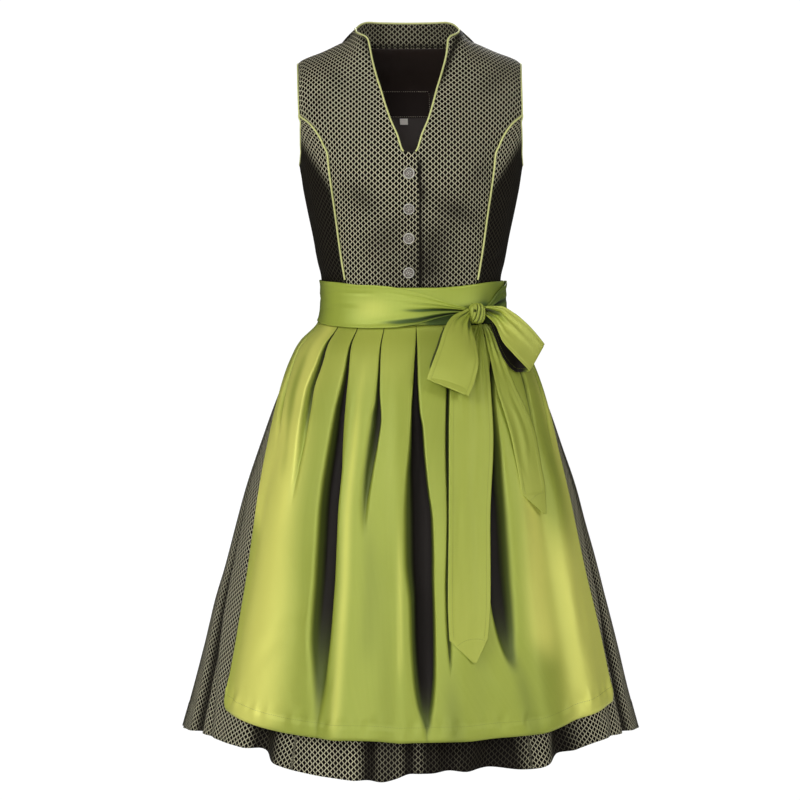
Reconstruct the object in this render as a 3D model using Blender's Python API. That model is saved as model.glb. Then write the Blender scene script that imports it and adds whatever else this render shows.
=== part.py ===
"""Dirndl dress with a tied apron, in the hollow form it has when worn.

Metres, +Z up, the front faces -Y. The origin is midway between the two neck points, where the shoulder
seams meet the collar, so the dress hangs below it.
"""
import math

import bmesh
import bpy
from mathutils import Vector

# Cloth, trim and seams
SEAM_GAP = 0.0003
JACQUARD = 0.0016
SATIN = 0.0012
LINING = 0.0010
PIPING_RADIUS = 0.0013

# Levels down the dress
WAIST_SEAM = -0.322
BAND_TOP = -0.3155
BAND_BOTTOM = -0.3705
APRON_HEM = -0.877
UNDERARM = -0.163


class Table:
    """Rows of named columns. A smooth curve that never overshoots runs through each column."""

    def __init__(self, columns, *rows):
        self.columns = columns.split()
        self.rows = sorted(rows)

    def at(self, column, place):
        pick = self.columns.index(column)
        places = [row[0] for row in self.rows]
        values = [row[pick] for row in self.rows]
        place = min(max(place, places[0]), places[-1])
        low = max(i for i in range(len(places) - 1) if places[i] <= place)
        steps = [(values[i + 1] - values[i]) / (places[i + 1] - places[i]) for i in range(len(places) - 1)]

        def slope(i):
            if i == 0 or i == len(places) - 1:
                return steps[min(i, len(steps) - 1)]
            before, after = steps[i - 1], steps[i]
            return 0.0 if before * after <= 0 else 2 * before * after / (before + after)

        width = places[low + 1] - places[low]
        s = (place - places[low]) / width
        return ((2 * s ** 3 - 3 * s ** 2 + 1) * values[low] + (s ** 3 - 2 * s ** 2 + s) * width * slope(low)
                + (3 * s ** 2 - 2 * s ** 3) * values[low + 1] + (s ** 3 - s ** 2) * width * slope(low + 1))


def smooth(start, end, value):
    """0 before start, 1 after end, a smooth rise between."""
    s = min(max((value - start) / (end - start), 0.0), 1.0)
    return s * s * (3 - 2 * s)


# The form that the cloth lies on: level rings from the collar to the hem.
FORM = Table(
    "level half_width front back square",
    (0.040, 0.1760, 0.044, 0.050, 2.30),
    (0.000, 0.1760, 0.054, 0.062, 2.40),
    (-0.030, 0.1750, 0.067, 0.080, 2.50),
    (-0.060, 0.1720, 0.084, 0.093, 2.60),
    (-0.100, 0.1650, 0.104, 0.101, 2.60),
    (-0.130, 0.1565, 0.115, 0.104, 2.50),
    (-0.160, 0.1500, 0.119, 0.105, 2.40),
    (-0.190, 0.1455, 0.118, 0.103, 2.35),
    (-0.220, 0.1398, 0.112, 0.099, 2.30),
    (-0.255, 0.1325, 0.104, 0.094, 2.25),
    (-0.290, 0.1262, 0.097, 0.089, 2.20),
    (-0.310, 0.1215, 0.0945, 0.087, 2.20),
    (-0.330, 0.1202, 0.0940, 0.0865, 2.20),
    (-0.350, 0.1207, 0.0955, 0.088, 2.20),
    (-0.370, 0.1245, 0.101, 0.093, 2.20),
    (-0.396, 0.1455, 0.123, 0.113, 2.20),
    (-0.423, 0.1590, 0.142, 0.131, 2.20),
    (-0.450, 0.1715, 0.157, 0.146, 2.20),
    (-0.478, 0.1835, 0.170, 0.160, 2.15),
    (-0.532, 0.2035, 0.190, 0.181, 2.10),
    (-0.587, 0.2220, 0.207, 0.199, 2.10),
    (-0.642, 0.2375, 0.222, 0.214, 2.05),
    (-0.698, 0.2530, 0.236, 0.229, 2.00),
    (-0.753, 0.2685, 0.249, 0.242, 2.00),
    (-0.809, 0.2825, 0.261, 0.254, 2.00),
    (-0.865, 0.2968, 0.272, 0.266, 2.00),
    (-0.940, 0.3165, 0.285, 0.280, 2.00),
)

# The top line of the dress seen from the front: collar side, neck point, shoulder, shoulder tip.
RIDGE = Table(
    "reach level",
    (0.0000, 0.060),
    (0.0500, 0.050),
    (0.0640, 0.036),
    (0.0735, 0.0235),
    (0.0785, 0.0150),
    (0.0850, 0.0070),
    (0.0957, 0.0008),
    (0.1192, -0.0098),
    (0.1467, -0.0204),
    (0.1540, -0.0255),
    (0.1800, -0.0400),
)
RIDGE_ROUNDING = 0.050
BUST = {"reach": 0.074, "level": -0.172, "wide": 0.040, "high": 0.045, "depth": 0.010}


def torso(x, level, back=False):
    """The point of the form's front or back at a distance x from the centre line."""
    half_width = FORM.at("half_width", level)
    square = FORM.at("square", level)
    fill = max(0.0, 1 - abs(x / half_width) ** square) ** (1 / square)
    drop = min(max(0.0, RIDGE.at("level", abs(x)) - level) / RIDGE_ROUNDING, 1.0)
    rounding = math.sqrt(1 - (1 - drop) ** 2)
    depth = FORM.at("back" if back else "front", level) * fill * rounding
    if back:
        return Vector((x, depth, level))
    cup = ((abs(x) - BUST["reach"]) / BUST["wide"]) ** 2 + ((level - BUST["level"]) / BUST["high"]) ** 2
    return Vector((x, -depth - BUST["depth"] * math.exp(-cup) * fill, level))


def around(degrees, level):
    """The point of the form at an angle from the centre front; +90 is at +X, 180 the centre back."""
    half_width = FORM.at("half_width", level)
    square = FORM.at("square", level)
    sine, cosine = math.sin(math.radians(degrees)), math.cos(math.radians(degrees))
    depth = FORM.at("front" if cosine > 0 else "back", level)
    x = half_width * math.copysign(abs(sine) ** (2 / square), sine)
    y = -depth * math.copysign(abs(cosine) ** (2 / square), cosine)
    return Vector((x, y, level))


def outward(degrees, level):
    """The level direction straight out of the form's ring."""
    run = around(degrees + 0.5, level) - around(degrees - 0.5, level)
    return Vector((run.y, -run.x, 0.0)).normalized()


# Pleats of the apron: valleys that run down from the waistband, each in its own line, width and depth.
PLEATS = Table(
    "top mid low spread depth fades rest",
    (-72.0, -68.0, -66.0, 5.0, 0.009, -0.50, 0.0),
    (-50.0, -42.0, -40.0, 6.0, 0.014, -0.56, 0.0),
    (-31.0, -26.5, -22.5, 5.0, 0.016, -0.81, 0.0),
    (-14.7, -13.5, -14.0, 4.5, 0.012, -0.58, 0.0),
    (2.5, 2.3, 5.0, 5.5, 0.022, -0.90, 0.3),
    (17.0, 15.0, 14.0, 4.5, 0.012, -0.75, 0.0),
    (41.0, 30.5, 25.5, 5.0, 0.018, -0.80, 0.0),
    (58.0, 55.0, 55.0, 5.0, 0.012, -0.51, 0.0),
    (76.0, 61.0, 58.0, 6.0, 0.009, -0.60, 0.0),
)
PLEAT_LEVELS = {"top": -0.371, "full": -0.425, "mid": -0.550, "low": -0.850}
PLEAT_FADE = 0.14

# Folds of the skirt, each deepest at the hem.
FOLDS = Table(
    "top low spread depth start",
    (-171.0, -173.0, 6.0, 0.013, -0.38),
    (-153.0, -155.0, 7.0, 0.015, -0.38),
    (-134.0, -135.0, 6.0, 0.012, -0.39),
    (-117.0, -115.0, 6.5, 0.014, -0.39),
    (-100.0, -96.0, 5.5, 0.010, -0.42),
    (-82.0, -68.0, 5.5, 0.010, -0.45),
    (-60.0, -39.0, 5.0, 0.014, -0.58),
    (-12.0, -10.0, 4.0, 0.009, -0.82),
    (9.0, 8.5, 4.5, 0.010, -0.82),
    (28.0, 23.0, 7.0, 0.015, -0.80),
    (60.0, 39.5, 5.0, 0.014, -0.58),
    (84.0, 69.0, 5.5, 0.010, -0.45),
    (101.0, 97.0, 5.5, 0.010, -0.42),
    (119.0, 116.0, 6.5, 0.014, -0.39),
    (137.0, 137.0, 6.0, 0.012, -0.39),
    (155.0, 154.0, 7.0, 0.015, -0.38),
)

# The skirt's hem and the apron's hem, as levels around the dress.
SKIRT_HEM = Table(
    "degrees level",
    (-180.0, -0.921),
    (-150.0, -0.927),
    (-120.0, -0.920),
    (-90.0, -0.927),
    (-76.0, -0.916),
    (-58.0, -0.905),
    (-42.0, -0.906),
    (-36.0, -0.920),
    (-18.0, -0.928),
    (-8.0, -0.930),
    (1.0, -0.919),
    (19.0, -0.918),
    (32.0, -0.923),
    (41.0, -0.913),
    (55.0, -0.904),
    (76.0, -0.916),
    (90.0, -0.927),
    (120.0, -0.921),
    (150.0, -0.926),
    (180.0, -0.921),
)
APRON_SIDES = Table(
    "level left right",
    (-0.371, -104.0, 104.0),
    (-0.420, -97.0, 99.0),
    (-0.450, -90.0, 96.0),
    (-0.486, -76.0, 89.0),
    (-0.510, -70.0, 79.0),
    (-0.540, -65.0, 72.0),
    (-0.575, -62.0, 68.5),
    (-0.625, -60.0, 65.0),
    (-0.700, -57.5, 63.0),
    (-0.790, -54.3, 62.2),
    (-0.900, -53.5, 61.2),
)
APRON_CORNER = 0.036
APRON_WIDTH_AT_HEM = 0.62
SETBACK = {"depth": 0.025, "hem": 0.009, "margin": 7.0}


def valley(offset, spread):
    """1 in the middle of a fold, 0 at its edges and beyond."""
    return smooth(1.0, 0.0, abs(offset) / spread)


def pleat_depth(degrees, level):
    """How far the apron's pleats press in at a place."""
    total = 0.0
    for top, mid, low, spread, depth, fades, rest in PLEATS.rows:
        if level > PLEAT_LEVELS["mid"]:
            centre = top + (mid - top) * smooth(PLEAT_LEVELS["top"], PLEAT_LEVELS["mid"], level)
        else:
            centre = mid + (low - mid) * smooth(PLEAT_LEVELS["mid"], PLEAT_LEVELS["low"], level)
        strength = smooth(PLEAT_LEVELS["top"], PLEAT_LEVELS["full"], level)
        strength *= 1 - (1 - rest) * smooth(fades + PLEAT_FADE, fades, level)
        total += depth * strength * valley(degrees - centre, spread)
    return total


def fold_depth(degrees, level):
    """How far the skirt's own folds press in at a place."""
    total = 0.0
    for top, low, spread, depth, start in FOLDS.rows:
        down = smooth(start, -0.93, level)
        centre = top + (low - top) * down
        away = (degrees - centre + 180) % 360 - 180
        total += depth * down ** 0.6 * valley(away, spread)
    return total


def setback(degrees, level):
    """How far the skirt keeps behind the apron, so that the pleats have room."""
    left = APRON_SIDES.at("left", level) + SETBACK["margin"]
    right = APRON_SIDES.at("right", level) - SETBACK["margin"]
    under = smooth(left, left + 10, degrees) * smooth(right, right - 10, degrees)
    deep = SETBACK["depth"] + (SETBACK["hem"] - SETBACK["depth"]) * smooth(-0.80, -0.875, level)
    return under * deep * smooth(-0.374, -0.405, level)


def skirt_point(degrees, level):
    lift = -fold_depth(degrees, level) - setback(degrees, level)
    return around(degrees, level) + outward(degrees, level) * lift


def apron_point(degrees, level):
    lift = 0.0015 + 0.0040 * smooth(-0.371, -0.410, level) + 0.0020 * smooth(-0.70, -0.88, level)
    return around(degrees, level) + outward(degrees, level) * (lift - pleat_depth(degrees, level))


# ---------------------------------------------------------------- building
def material(name, colour, roughness, metallic=0.0):
    made = bpy.data.materials.get(name)
    if made is None:
        made = bpy.data.materials.new(name)
        made.use_nodes = True
        shader = made.node_tree.nodes["Principled BSDF"]
        shader.inputs["Base Color"].default_value = (*colour, 1.0)
        shader.inputs["Roughness"].default_value = roughness
        shader.inputs["Metallic"].default_value = metallic
    return made


def jacquard():
    return material("jacquard", (0.20, 0.19, 0.11), 0.75)


def satin():
    return material("satin", (0.36, 0.45, 0.06), 0.40)


def lining_satin():
    return material("lining", (0.020, 0.012, 0.010), 0.45)


def piping_satin():
    return material("piping", (0.55, 0.68, 0.12), 0.45)


def label_cloth():
    return material("label", (0.030, 0.012, 0.010), 0.70)


def size_tag_cloth():
    return material("size_tag", (0.55, 0.54, 0.50), 0.70)


def button_metal():
    return material("button_metal", (0.45, 0.43, 0.40), 0.35, 1.0)


def add_object(name, mesh_data, look):
    piece = bpy.data.objects.new(name, mesh_data)
    bpy.context.scene.collection.objects.link(piece)
    mesh_data.materials.append(look)
    return piece


def finish_mesh(name, work, look):
    bmesh.ops.recalc_face_normals(work, faces=work.faces)
    if work.calc_volume(signed=True) < 0:
        bmesh.ops.reverse_faces(work, faces=work.faces)
    data = bpy.data.meshes.new(name)
    work.to_mesh(data)
    work.free()
    data.shade_smooth()
    data.set_sharp_from_angle(angle=math.radians(50))
    return add_object(name, data, look)


def surface_normal(point, u, v):
    """Outward normal of point(u, v), where u runs towards +X on the front and v runs up."""
    step = 0.002
    across = point(min(u + step, 1.0), v) - point(max(u - step, 0.0), v)
    upward = point(u, min(v + step, 1.0)) - point(u, max(v - step, 0.0))
    return across.cross(upward).normalized()


def cloth(name, look, thickness, grid, point):
    """A wall of cloth: a flat grid extruded through its thickness, then laid on point(u, v)."""
    work = bmesh.new()
    bmesh.ops.create_grid(work, x_segments=grid[0], y_segments=grid[1], size=0.5)
    bmesh.ops.triangulate(work, faces=work.faces[:], quad_method="FIXED")
    grown = bmesh.ops.extrude_face_region(work, geom=work.faces[:], use_keep_orig=True)
    inner = {item for item in grown["geom"] if isinstance(item, bmesh.types.BMVert)}
    for vert in work.verts:
        u = min(max(vert.co.x + 0.5, 0.0), 1.0)
        v = min(max(vert.co.y + 0.5, 0.0), 1.0)
        place = point(u, v)
        if vert in inner:
            place = place - surface_normal(point, u, v) * thickness
        vert.co = place
    return finish_mesh(name, work, look)


def mirrored(point):
    """The same panel on the other side of the centre line."""
    def other(u, v):
        place = point(1 - u, v)
        return Vector((-place.x, place.y, place.z))
    return other


def between(rows, v):
    """The row of numbers at v from 0 to 1, read straight between neighbouring rows."""
    place = v * (len(rows) - 1)
    low = min(int(place), len(rows) - 2)
    part = place - low
    return [a + (b - a) * part for a, b in zip(rows[low], rows[low + 1])]


# ---------------------------------------------------------------- bodice
SHOULDER_TIP = 0.1528
TIP_LEVEL = RIDGE.at("level", SHOULDER_TIP)
COLLAR_SIDE = 0.0738
COLLAR_SIDE_LEVEL = RIDGE.at("level", COLLAR_SIDE)
NECK_POINT = 0.0957
NECK_SIDE = RIDGE.at("level", NECK_POINT)

# Centre front, a row per section from the waist up: inner edge (centre front, V neck, collar) and
# outer edge (princess seam up to the armhole, armhole edge), each as a distance and a level.
LAP = 0.0095
FRONT_ROWS = (
    (-LAP, -0.3220, 0.0850, -0.3220),
    (-LAP, -0.2980, 0.0895, -0.2960),
    (-LAP, -0.2720, 0.0935, -0.2690),
    (-LAP, -0.2460, 0.0968, -0.2420),
    (-LAP, -0.2200, 0.1002, -0.2150),
    (-LAP, -0.1940, 0.1036, -0.1900),
    (-LAP, -0.1710, 0.1065, -0.1670),
    (-LAP, -0.1500, 0.1085, -0.1480),
    (0.0078, -0.1475, 0.1125, -0.1400),
    (0.0165, -0.1240, 0.1170, -0.1300),
    (0.0245, -0.1050, 0.1240, -0.1190),
    (0.0312, -0.0850, 0.1335, -0.1080),
    (0.0376, -0.0640, 0.1475, -0.0960),
    (0.0430, -0.0480, 0.1485, -0.0840),
    (0.0475, -0.0330, 0.1492, -0.0720),
    (0.0510, -0.0190, 0.1500, -0.0600),
    (0.0532, -0.0070, 0.1506, -0.0500),
    (0.0550, 0.0030, 0.1512, -0.0415),
    (0.0590, 0.0088, 0.1518, -0.0350),
    (0.0655, 0.0125, 0.1523, -0.0300),
    (0.0708, 0.0170, 0.1526, -0.0265),
    (COLLAR_SIDE, RIDGE.at("level", COLLAR_SIDE), SHOULDER_TIP, TIP_LEVEL),
)
FRONT_COLUMNS = 9
SHOULDER_FOLLOWS = {"from": -0.15, "to": -0.035}
UNDERLAP = {"inset": JACQUARD + 0.0006, "flat": 0.0170, "level": 0.0340}


def shoulder_row(inner, inner_level, outer, outer_level, part):
    """A point of a row that is straight low down and takes the shoulder's line higher up."""
    x = inner + (outer - inner) * part
    straight = inner_level + (outer_level - inner_level) * part
    line = RIDGE.at("level", abs(x))
    chord = (RIDGE.at("level", abs(inner)) * (1 - part) + RIDGE.at("level", abs(outer)) * part)
    follow = smooth(SHOULDER_FOLLOWS["from"], SHOULDER_FOLLOWS["to"], outer_level)
    return x, straight + (line - chord) * follow


def front_panel(u, v):
    """The centre front of the wearer's right side, mirrored to +X: u from the centre out."""
    x, level = shoulder_row(*between(FRONT_ROWS, v), u)
    return torso(x, level) + Vector((0, -SEAM_GAP / 2, 0))


def underlap_panel(u, v):
    """The other centre front, set in where it runs under the lap."""
    place = front_panel(u, v)
    hidden = smooth(UNDERLAP["level"], UNDERLAP["flat"], place.x)
    return place + Vector((0, UNDERLAP["inset"] * hidden, 0))


def princess(level):
    """Distance of the princess seam from the centre line, plus the seam gap."""
    rows = [row for row in FRONT_ROWS if row[3] <= -0.0955]
    levels = [row[3] for row in rows]
    low = max(i for i in range(len(levels) - 1) if levels[i] <= level or i == 0)
    part = (level - levels[low]) / (levels[low + 1] - levels[low])
    return rows[low][2] + (rows[low + 1][2] - rows[low][2]) * part + SEAM_GAP


PRINCESS_TOP = -0.0960


def armhole_level(part):
    """The armhole's lower curve, from the princess seam (0) to the underarm (1)."""
    return UNDERARM + (PRINCESS_TOP - UNDERARM) * (1 - math.sin(part * math.pi / 2)) ** 1.2


def form_degrees(x, level):
    """The angle round the form at which a distance x is reached."""
    ratio = min(abs(x) / FORM.at("half_width", level), 1.0)
    return math.degrees(math.asin(ratio ** (FORM.at("square", level) / 2)))


def side_panel(u, v):
    """The side front at +X: u from the princess seam to the side seam."""
    level = WAIST_SEAM + (armhole_level(u) - WAIST_SEAM) * v
    start = form_degrees(princess(level), level)
    degrees = start + (90 - start) * u
    half_width = FORM.at("half_width", level)
    x = half_width * math.sin(math.radians(degrees)) ** (2 / FORM.at("square", level))
    return torso(x, level) + Vector((0, -SEAM_GAP / 2, 0))


# Back, a row per section from the waist up: level at the centre, then at the outer edge its reach, as a
# share of the form's half width, and its level.
NECK_BACK = 0.0030
BACK_ROWS = (
    (-0.3220, 1.0, -0.3220),
    (-0.2950, 1.0, -0.2950),
    (-0.2650, 1.0, -0.2650),
    (-0.2350, 1.0, -0.2350),
    (-0.2080, 1.0, -0.2080),
    (-0.1850, 1.0, -0.1850),
    (-0.1600, 1.0, UNDERARM),
    (-0.1480, 0.982, -0.1560),
    (-0.1340, 0.953, -0.1430),
    (-0.1120, 0.920, -0.1240),
    (-0.0900, 0.895, -0.1020),
    (-0.0680, 0.880, -0.0800),
    (-0.0480, 0.876, -0.0610),
    (-0.0300, 0.874, -0.0450),
    (-0.0150, 0.873, -0.0340),
    (-0.0040, 0.8735, -0.0275),
    (NECK_BACK, SHOULDER_TIP / FORM.at("half_width", TIP_LEVEL), TIP_LEVEL),
)
BACK_COLUMNS = 16


def back_half(part, v):
    """Half of the back: part from the centre (0) to the side (1)."""
    centre_level, reach, outer_level = between(BACK_ROWS, v)
    square = FORM.at("square", outer_level)
    widest = FORM.at("half_width", outer_level)
    edge = math.asin(min(reach, 1.0) ** (square / 2))
    x = widest * math.sin(edge * part) ** (2 / square) if part > 0 else 0.0
    share = x / (widest * reach)
    straight = centre_level + (outer_level - centre_level) * share
    neck_line = min(NECK_BACK, RIDGE.at("level", x))
    chord = NECK_BACK + (RIDGE.at("level", widest * reach) - NECK_BACK) * share
    follow = smooth(SHOULDER_FOLLOWS["from"], SHOULDER_FOLLOWS["to"], outer_level)
    level = straight + (neck_line - chord) * follow
    return torso(min(x, FORM.at("half_width", level)), level, back=True) + Vector((0, SEAM_GAP / 2, 0))


def back_panel(u, v):
    """The whole back: u from the wearer's left side seam at +X to the right one at -X."""
    place = back_half(abs(2 * u - 1), v)
    return place if u < 0.5 else Vector((-place.x, place.y, place.z))


LINING_ROWS = len(BACK_ROWS) - 2
LINING_SIDES = 0.012
LINING_GAP = 0.0015


def lining_panel(u, v):
    """The lining lies inside the back, made from the back's own points, just short of its seams."""
    inside = JACQUARD + LINING_GAP
    nearest = min(u, 1 - u)
    shorter = LINING_SIDES * max(0.0, 1 - nearest * BACK_COLUMNS)
    u += math.copysign(shorter, 0.5 - u)
    v = v * LINING_ROWS / (LINING_ROWS + 1)
    return back_panel(u, v) - surface_normal(back_panel, u, v) * inside


# ---------------------------------------------------------------- collar
COLLAR_RAISE = 0.0009
COLLAR_COLUMNS = 16
COLLAR_TOP = {"back": 0.0520, "level": 0.0360}


def back_collar(u, v):
    """The stand collar behind the neck: u from +X round the back to -X, v up from the back's neck edge."""
    turn = math.pi * (0.5 + u)
    behind = -math.cos(turn)
    x = NECK_POINT * math.sin(turn)
    base = torso(x, min(NECK_BACK, RIDGE.at("level", abs(x))), back=True)
    level = COLLAR_SIDE_LEVEL + (COLLAR_TOP["level"] - COLLAR_SIDE_LEVEL) * smooth(0.0, 0.75, behind)
    top = Vector((COLLAR_SIDE * math.sin(turn), COLLAR_TOP["back"] * behind, level))
    base.z += COLLAR_RAISE
    return base.lerp(top, v) + Vector((0, SEAM_GAP / 2, 0))


# ---------------------------------------------------------------- skirt and apron
SKIRT_LEVELS = (
    -0.3223, -0.3450, -0.3710, -0.3850, -0.4000, -0.4250, -0.4600, -0.5200, -0.6200, -0.7400, -0.8400,
)
SEAM_DEGREES = 0.07


def skirt_panel(start, end):
    """A skirt panel between two angles: u across, v from the hem up to the waist."""
    def point(u, v):
        degrees = start + SEAM_DEGREES + (end - start - 2 * SEAM_DEGREES) * u
        hem = SKIRT_HEM.at("level", (degrees + 180) % 360 - 180)
        (level,) = between([(hem,)] + [(row,) for row in reversed(SKIRT_LEVELS)], v)
        return skirt_point(degrees, level)
    return point


APRON_LEVELS = (
    -0.3710, -0.3850, -0.4000, -0.4250, -0.4600, -0.5000, -0.5500, -0.6100, -0.6700, -0.7300, -0.7850,
    -0.8350,
)


def apron_panel(u, v):
    """The pleated apron: u from its left side to its right, v from the hem up to the waistband."""
    hem = APRON_HEM
    side_run = min(u, 1 - u) * APRON_WIDTH_AT_HEM
    if side_run < APRON_CORNER:
        hem += APRON_CORNER - math.sqrt(APRON_CORNER ** 2 - (APRON_CORNER - side_run) ** 2)
    (level,) = between([(hem,)] + [(row,) for row in reversed(APRON_LEVELS)], v)
    left, right = APRON_SIDES.at("left", level), APRON_SIDES.at("right", level)
    return apron_point(left + (right - left) * u, level)


# ---------------------------------------------------------------- band, ties and bow
TIE_LIFTS = {"band": 0.0026, "inner": 0.0048, "outer": 0.0066}
BAND_END = 100.0


def waistband(u, v):
    degrees = BAND_END * (2 * u - 1)
    level = BAND_BOTTOM + (BAND_TOP - BAND_BOTTOM) * v
    return around(degrees, level) + outward(degrees, level) * TIE_LIFTS["band"]


# Each tie runs from its end of the waistband round the back to the knot.
TIE_TO_LEFT = Table(
    "degrees upper lower",
    (-260.0, -0.3160, -0.3700),
    (-90.0, -0.3145, -0.3690),
    (-50.0, -0.3155, -0.3730),
    (-27.0, -0.3170, -0.3745),
    (-9.5, -0.3213, -0.3735),
    (2.3, -0.3277, -0.3695),
    (12.0, -0.3345, -0.3630),
    (22.0, -0.3420, -0.3580),
    (33.6, -0.3490, -0.3555),
)
TIE_TO_RIGHT = Table(
    "degrees upper lower",
    (52.5, -0.3455, -0.3590),
    (57.0, -0.3400, -0.3620),
    (64.0, -0.3300, -0.3660),
    (74.0, -0.3215, -0.3690),
    (90.0, -0.3175, -0.3700),
    (260.0, -0.3160, -0.3700),
)


def tie(table, lift):
    def point(u, v):
        degrees = table.rows[0][0] + (table.rows[-1][0] - table.rows[0][0]) * u
        upper, lower = table.at("upper", degrees), table.at("lower", degrees)
        level = lower + (upper - lower) * v
        return around(degrees, level) + outward(degrees, level) * lift
    return point


# The bow's loops, a row per section from the knot out along the front layer and back along the rear
# layer: one edge of the ribbon, then the other.
BOW_COLUMNS = "along edge_x edge_y edge_z far_x far_y far_z"
BOW_LEFT = Table(
    BOW_COLUMNS,
    (0, 0.0751, -0.0961, -0.3490, 0.0754, -0.0961, -0.3625),
    (1, 0.0531, -0.116, -0.3582, 0.0790, -0.114, -0.3764),
    (2, 0.0424, -0.136, -0.3727, 0.0837, -0.132, -0.3961),
    (3, 0.0345, -0.154, -0.3948, 0.0857, -0.150, -0.4155),
    (4, 0.0254, -0.168, -0.4181, 0.0801, -0.166, -0.4400),
    (5, 0.0190, -0.174, -0.4355, 0.0723, -0.176, -0.4570),
    (6, 0.0229, -0.162, -0.4198, 0.0751, -0.164, -0.4401),
    (7, 0.0321, -0.142, -0.3955, 0.0756, -0.146, -0.4132),
    (8, 0.0401, -0.122, -0.3760, 0.0761, -0.126, -0.3887),
    (9, 0.0695, -0.0955, -0.3560, 0.0730, -0.0955, -0.3640),
)
BOW_RIGHT = Table(
    BOW_COLUMNS,
    (0, 0.0963, -0.0822, -0.3465, 0.0967, -0.0830, -0.3575),
    (1, 0.1165, -0.086, -0.3464, 0.1090, -0.100, -0.3706),
    (2, 0.1348, -0.088, -0.3555, 0.1181, -0.112, -0.3908),
    (3, 0.1560, -0.085, -0.3739, 0.1348, -0.118, -0.4099),
    (4, 0.1752, -0.076, -0.3968, 0.1537, -0.106, -0.4303),
    (5, 0.1599, -0.066, -0.3789, 0.1384, -0.100, -0.4320),
    (6, 0.1377, -0.060, -0.3633, 0.1199, -0.109, -0.4134),
    (7, 0.1177, -0.062, -0.3526, 0.1086, -0.098, -0.3841),
    (8, 0.1015, -0.077, -0.3470, 0.1005, -0.079, -0.3580),
)


def loop(table):
    """A ribbon that goes out and comes back: u across the ribbon, v along it."""
    def point(u, v):
        along = v * table.rows[-1][0]
        edge = Vector([table.at(name, along) for name in ("edge_x", "edge_y", "edge_z")])
        far = Vector([table.at(name, along) for name in ("far_x", "far_y", "far_z")])
        return edge.lerp(far, u)
    return point


# The tails, a row per section down from the knot: level, left edge, right edge, lift off the apron.
TAIL_LONG = Table(
    "level left right lift",
    (-0.7830, 0.0770, 0.0800, 0.0110),
    (-0.7545, 0.0480, 0.0945, 0.0105),
    (-0.7060, 0.0461, 0.0976, 0.0105),
    (-0.6100, 0.0476, 0.0983, 0.0095),
    (-0.5100, 0.0481, 0.1025, 0.0100),
    (-0.4530, 0.0500, 0.1000, 0.0095),
    (-0.4020, 0.0640, 0.0925, 0.0095),
    (-0.3780, 0.0780, 0.0885, 0.0090),
    (-0.3702, 0.0820, 0.0860, 0.0100),
)
TAIL_SHORT = Table(
    "level left right lift",
    (-0.6100, 0.1660, 0.1690, 0.0100),
    (-0.5830, 0.1385, 0.1685, 0.0095),
    (-0.5500, 0.1325, 0.1635, 0.0095),
    (-0.5080, 0.1240, 0.1560, 0.0095),
    (-0.4460, 0.1060, 0.1290, 0.0100),
    (-0.3980, 0.0940, 0.1080, 0.0095),
    (-0.3780, 0.0895, 0.0985, 0.0100),
    (-0.3702, 0.0866, 0.0925, 0.0100),
)


def tail(table):
    def point(u, v):
        level = table.rows[0][0] + (table.rows[-1][0] - table.rows[0][0]) * v
        x = table.at("left", level) + (table.at("right", level) - table.at("left", level)) * u
        degrees = form_degrees(x, level)
        return around(degrees, level) + outward(degrees, level) * table.at("lift", level)
    return point


KNOT = {"degrees": 38.5, "level": -0.3560, "lift": 0.0130, "wide": 0.0235, "high": 0.0275, "deep": 0.0160}


def build_knot():
    work = bmesh.new()
    bmesh.ops.create_uvsphere(work, u_segments=14, v_segments=9, radius=0.5)
    facing = outward(KNOT["degrees"], KNOT["level"])
    sideways = Vector((-facing.y, facing.x, 0))
    centre = around(KNOT["degrees"], KNOT["level"]) + facing * KNOT["lift"]
    for vert in work.verts:
        square = [math.copysign(abs(2 * value) ** 0.7, value) / 2 for value in vert.co]
        vert.co = (centre + sideways * square[0] * KNOT["wide"] + facing * square[1] * KNOT["deep"]
                   + Vector((0, 0, square[2] * KNOT["high"])))
    return finish_mesh("bow_knot", work, satin())


# ---------------------------------------------------------------- trim
def piping(name, points, closed=False):
    """A round cord covered in satin, along a line of points."""
    line = bpy.data.curves.new(name, "CURVE")
    line.dimensions = "3D"
    line.bevel_depth = PIPING_RADIUS
    line.bevel_resolution = 1
    line.use_fill_caps = not closed
    run = line.splines.new("POLY")
    run.points.add(len(points) - 1)
    for target, place in zip(run.points, points):
        target.co = (*place, 1.0)
    run.use_cyclic_u = closed
    return add_object(name, line, piping_satin())


def off_edge(point, u, v, thickness):
    """A place just off the edge of a panel at u = 0 or 1 or v = 1, in the middle of its wall."""
    step = 0.004
    place = point(u, v)
    if v == 1:
        away = place - point(u, v - step)
        along = point(min(u + step, 1.0), v) - point(max(u - step, 0.0), v)
    else:
        away = place - point(u + (step if u == 0 else -step), v)
        along = point(u, min(v + step, 1.0)) - point(u, max(v - step, 0.0))
    away = (away - along.normalized() * away.dot(along.normalized())).normalized()
    middle = surface_normal(point, u, v) * (thickness / 2)
    return place - middle + away * (PIPING_RADIUS + 2 * SEAM_GAP)


NECK_ROW = 8
ARMHOLE_ROW = 12
TOP_ROW = len(FRONT_ROWS) - 1
NECK_PIPING = {"short": 0.25, "points": 23}
PRINCESS_PIPING = {"bottom": BAND_TOP + 0.003, "top": PRINCESS_TOP - 0.004, "points": 18}
ARMHOLE_PIPING = {"back_row": 6, "under_points": 6}


def flipped(points):
    return [Vector((-place.x, place.y, place.z)) for place in points]


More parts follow.
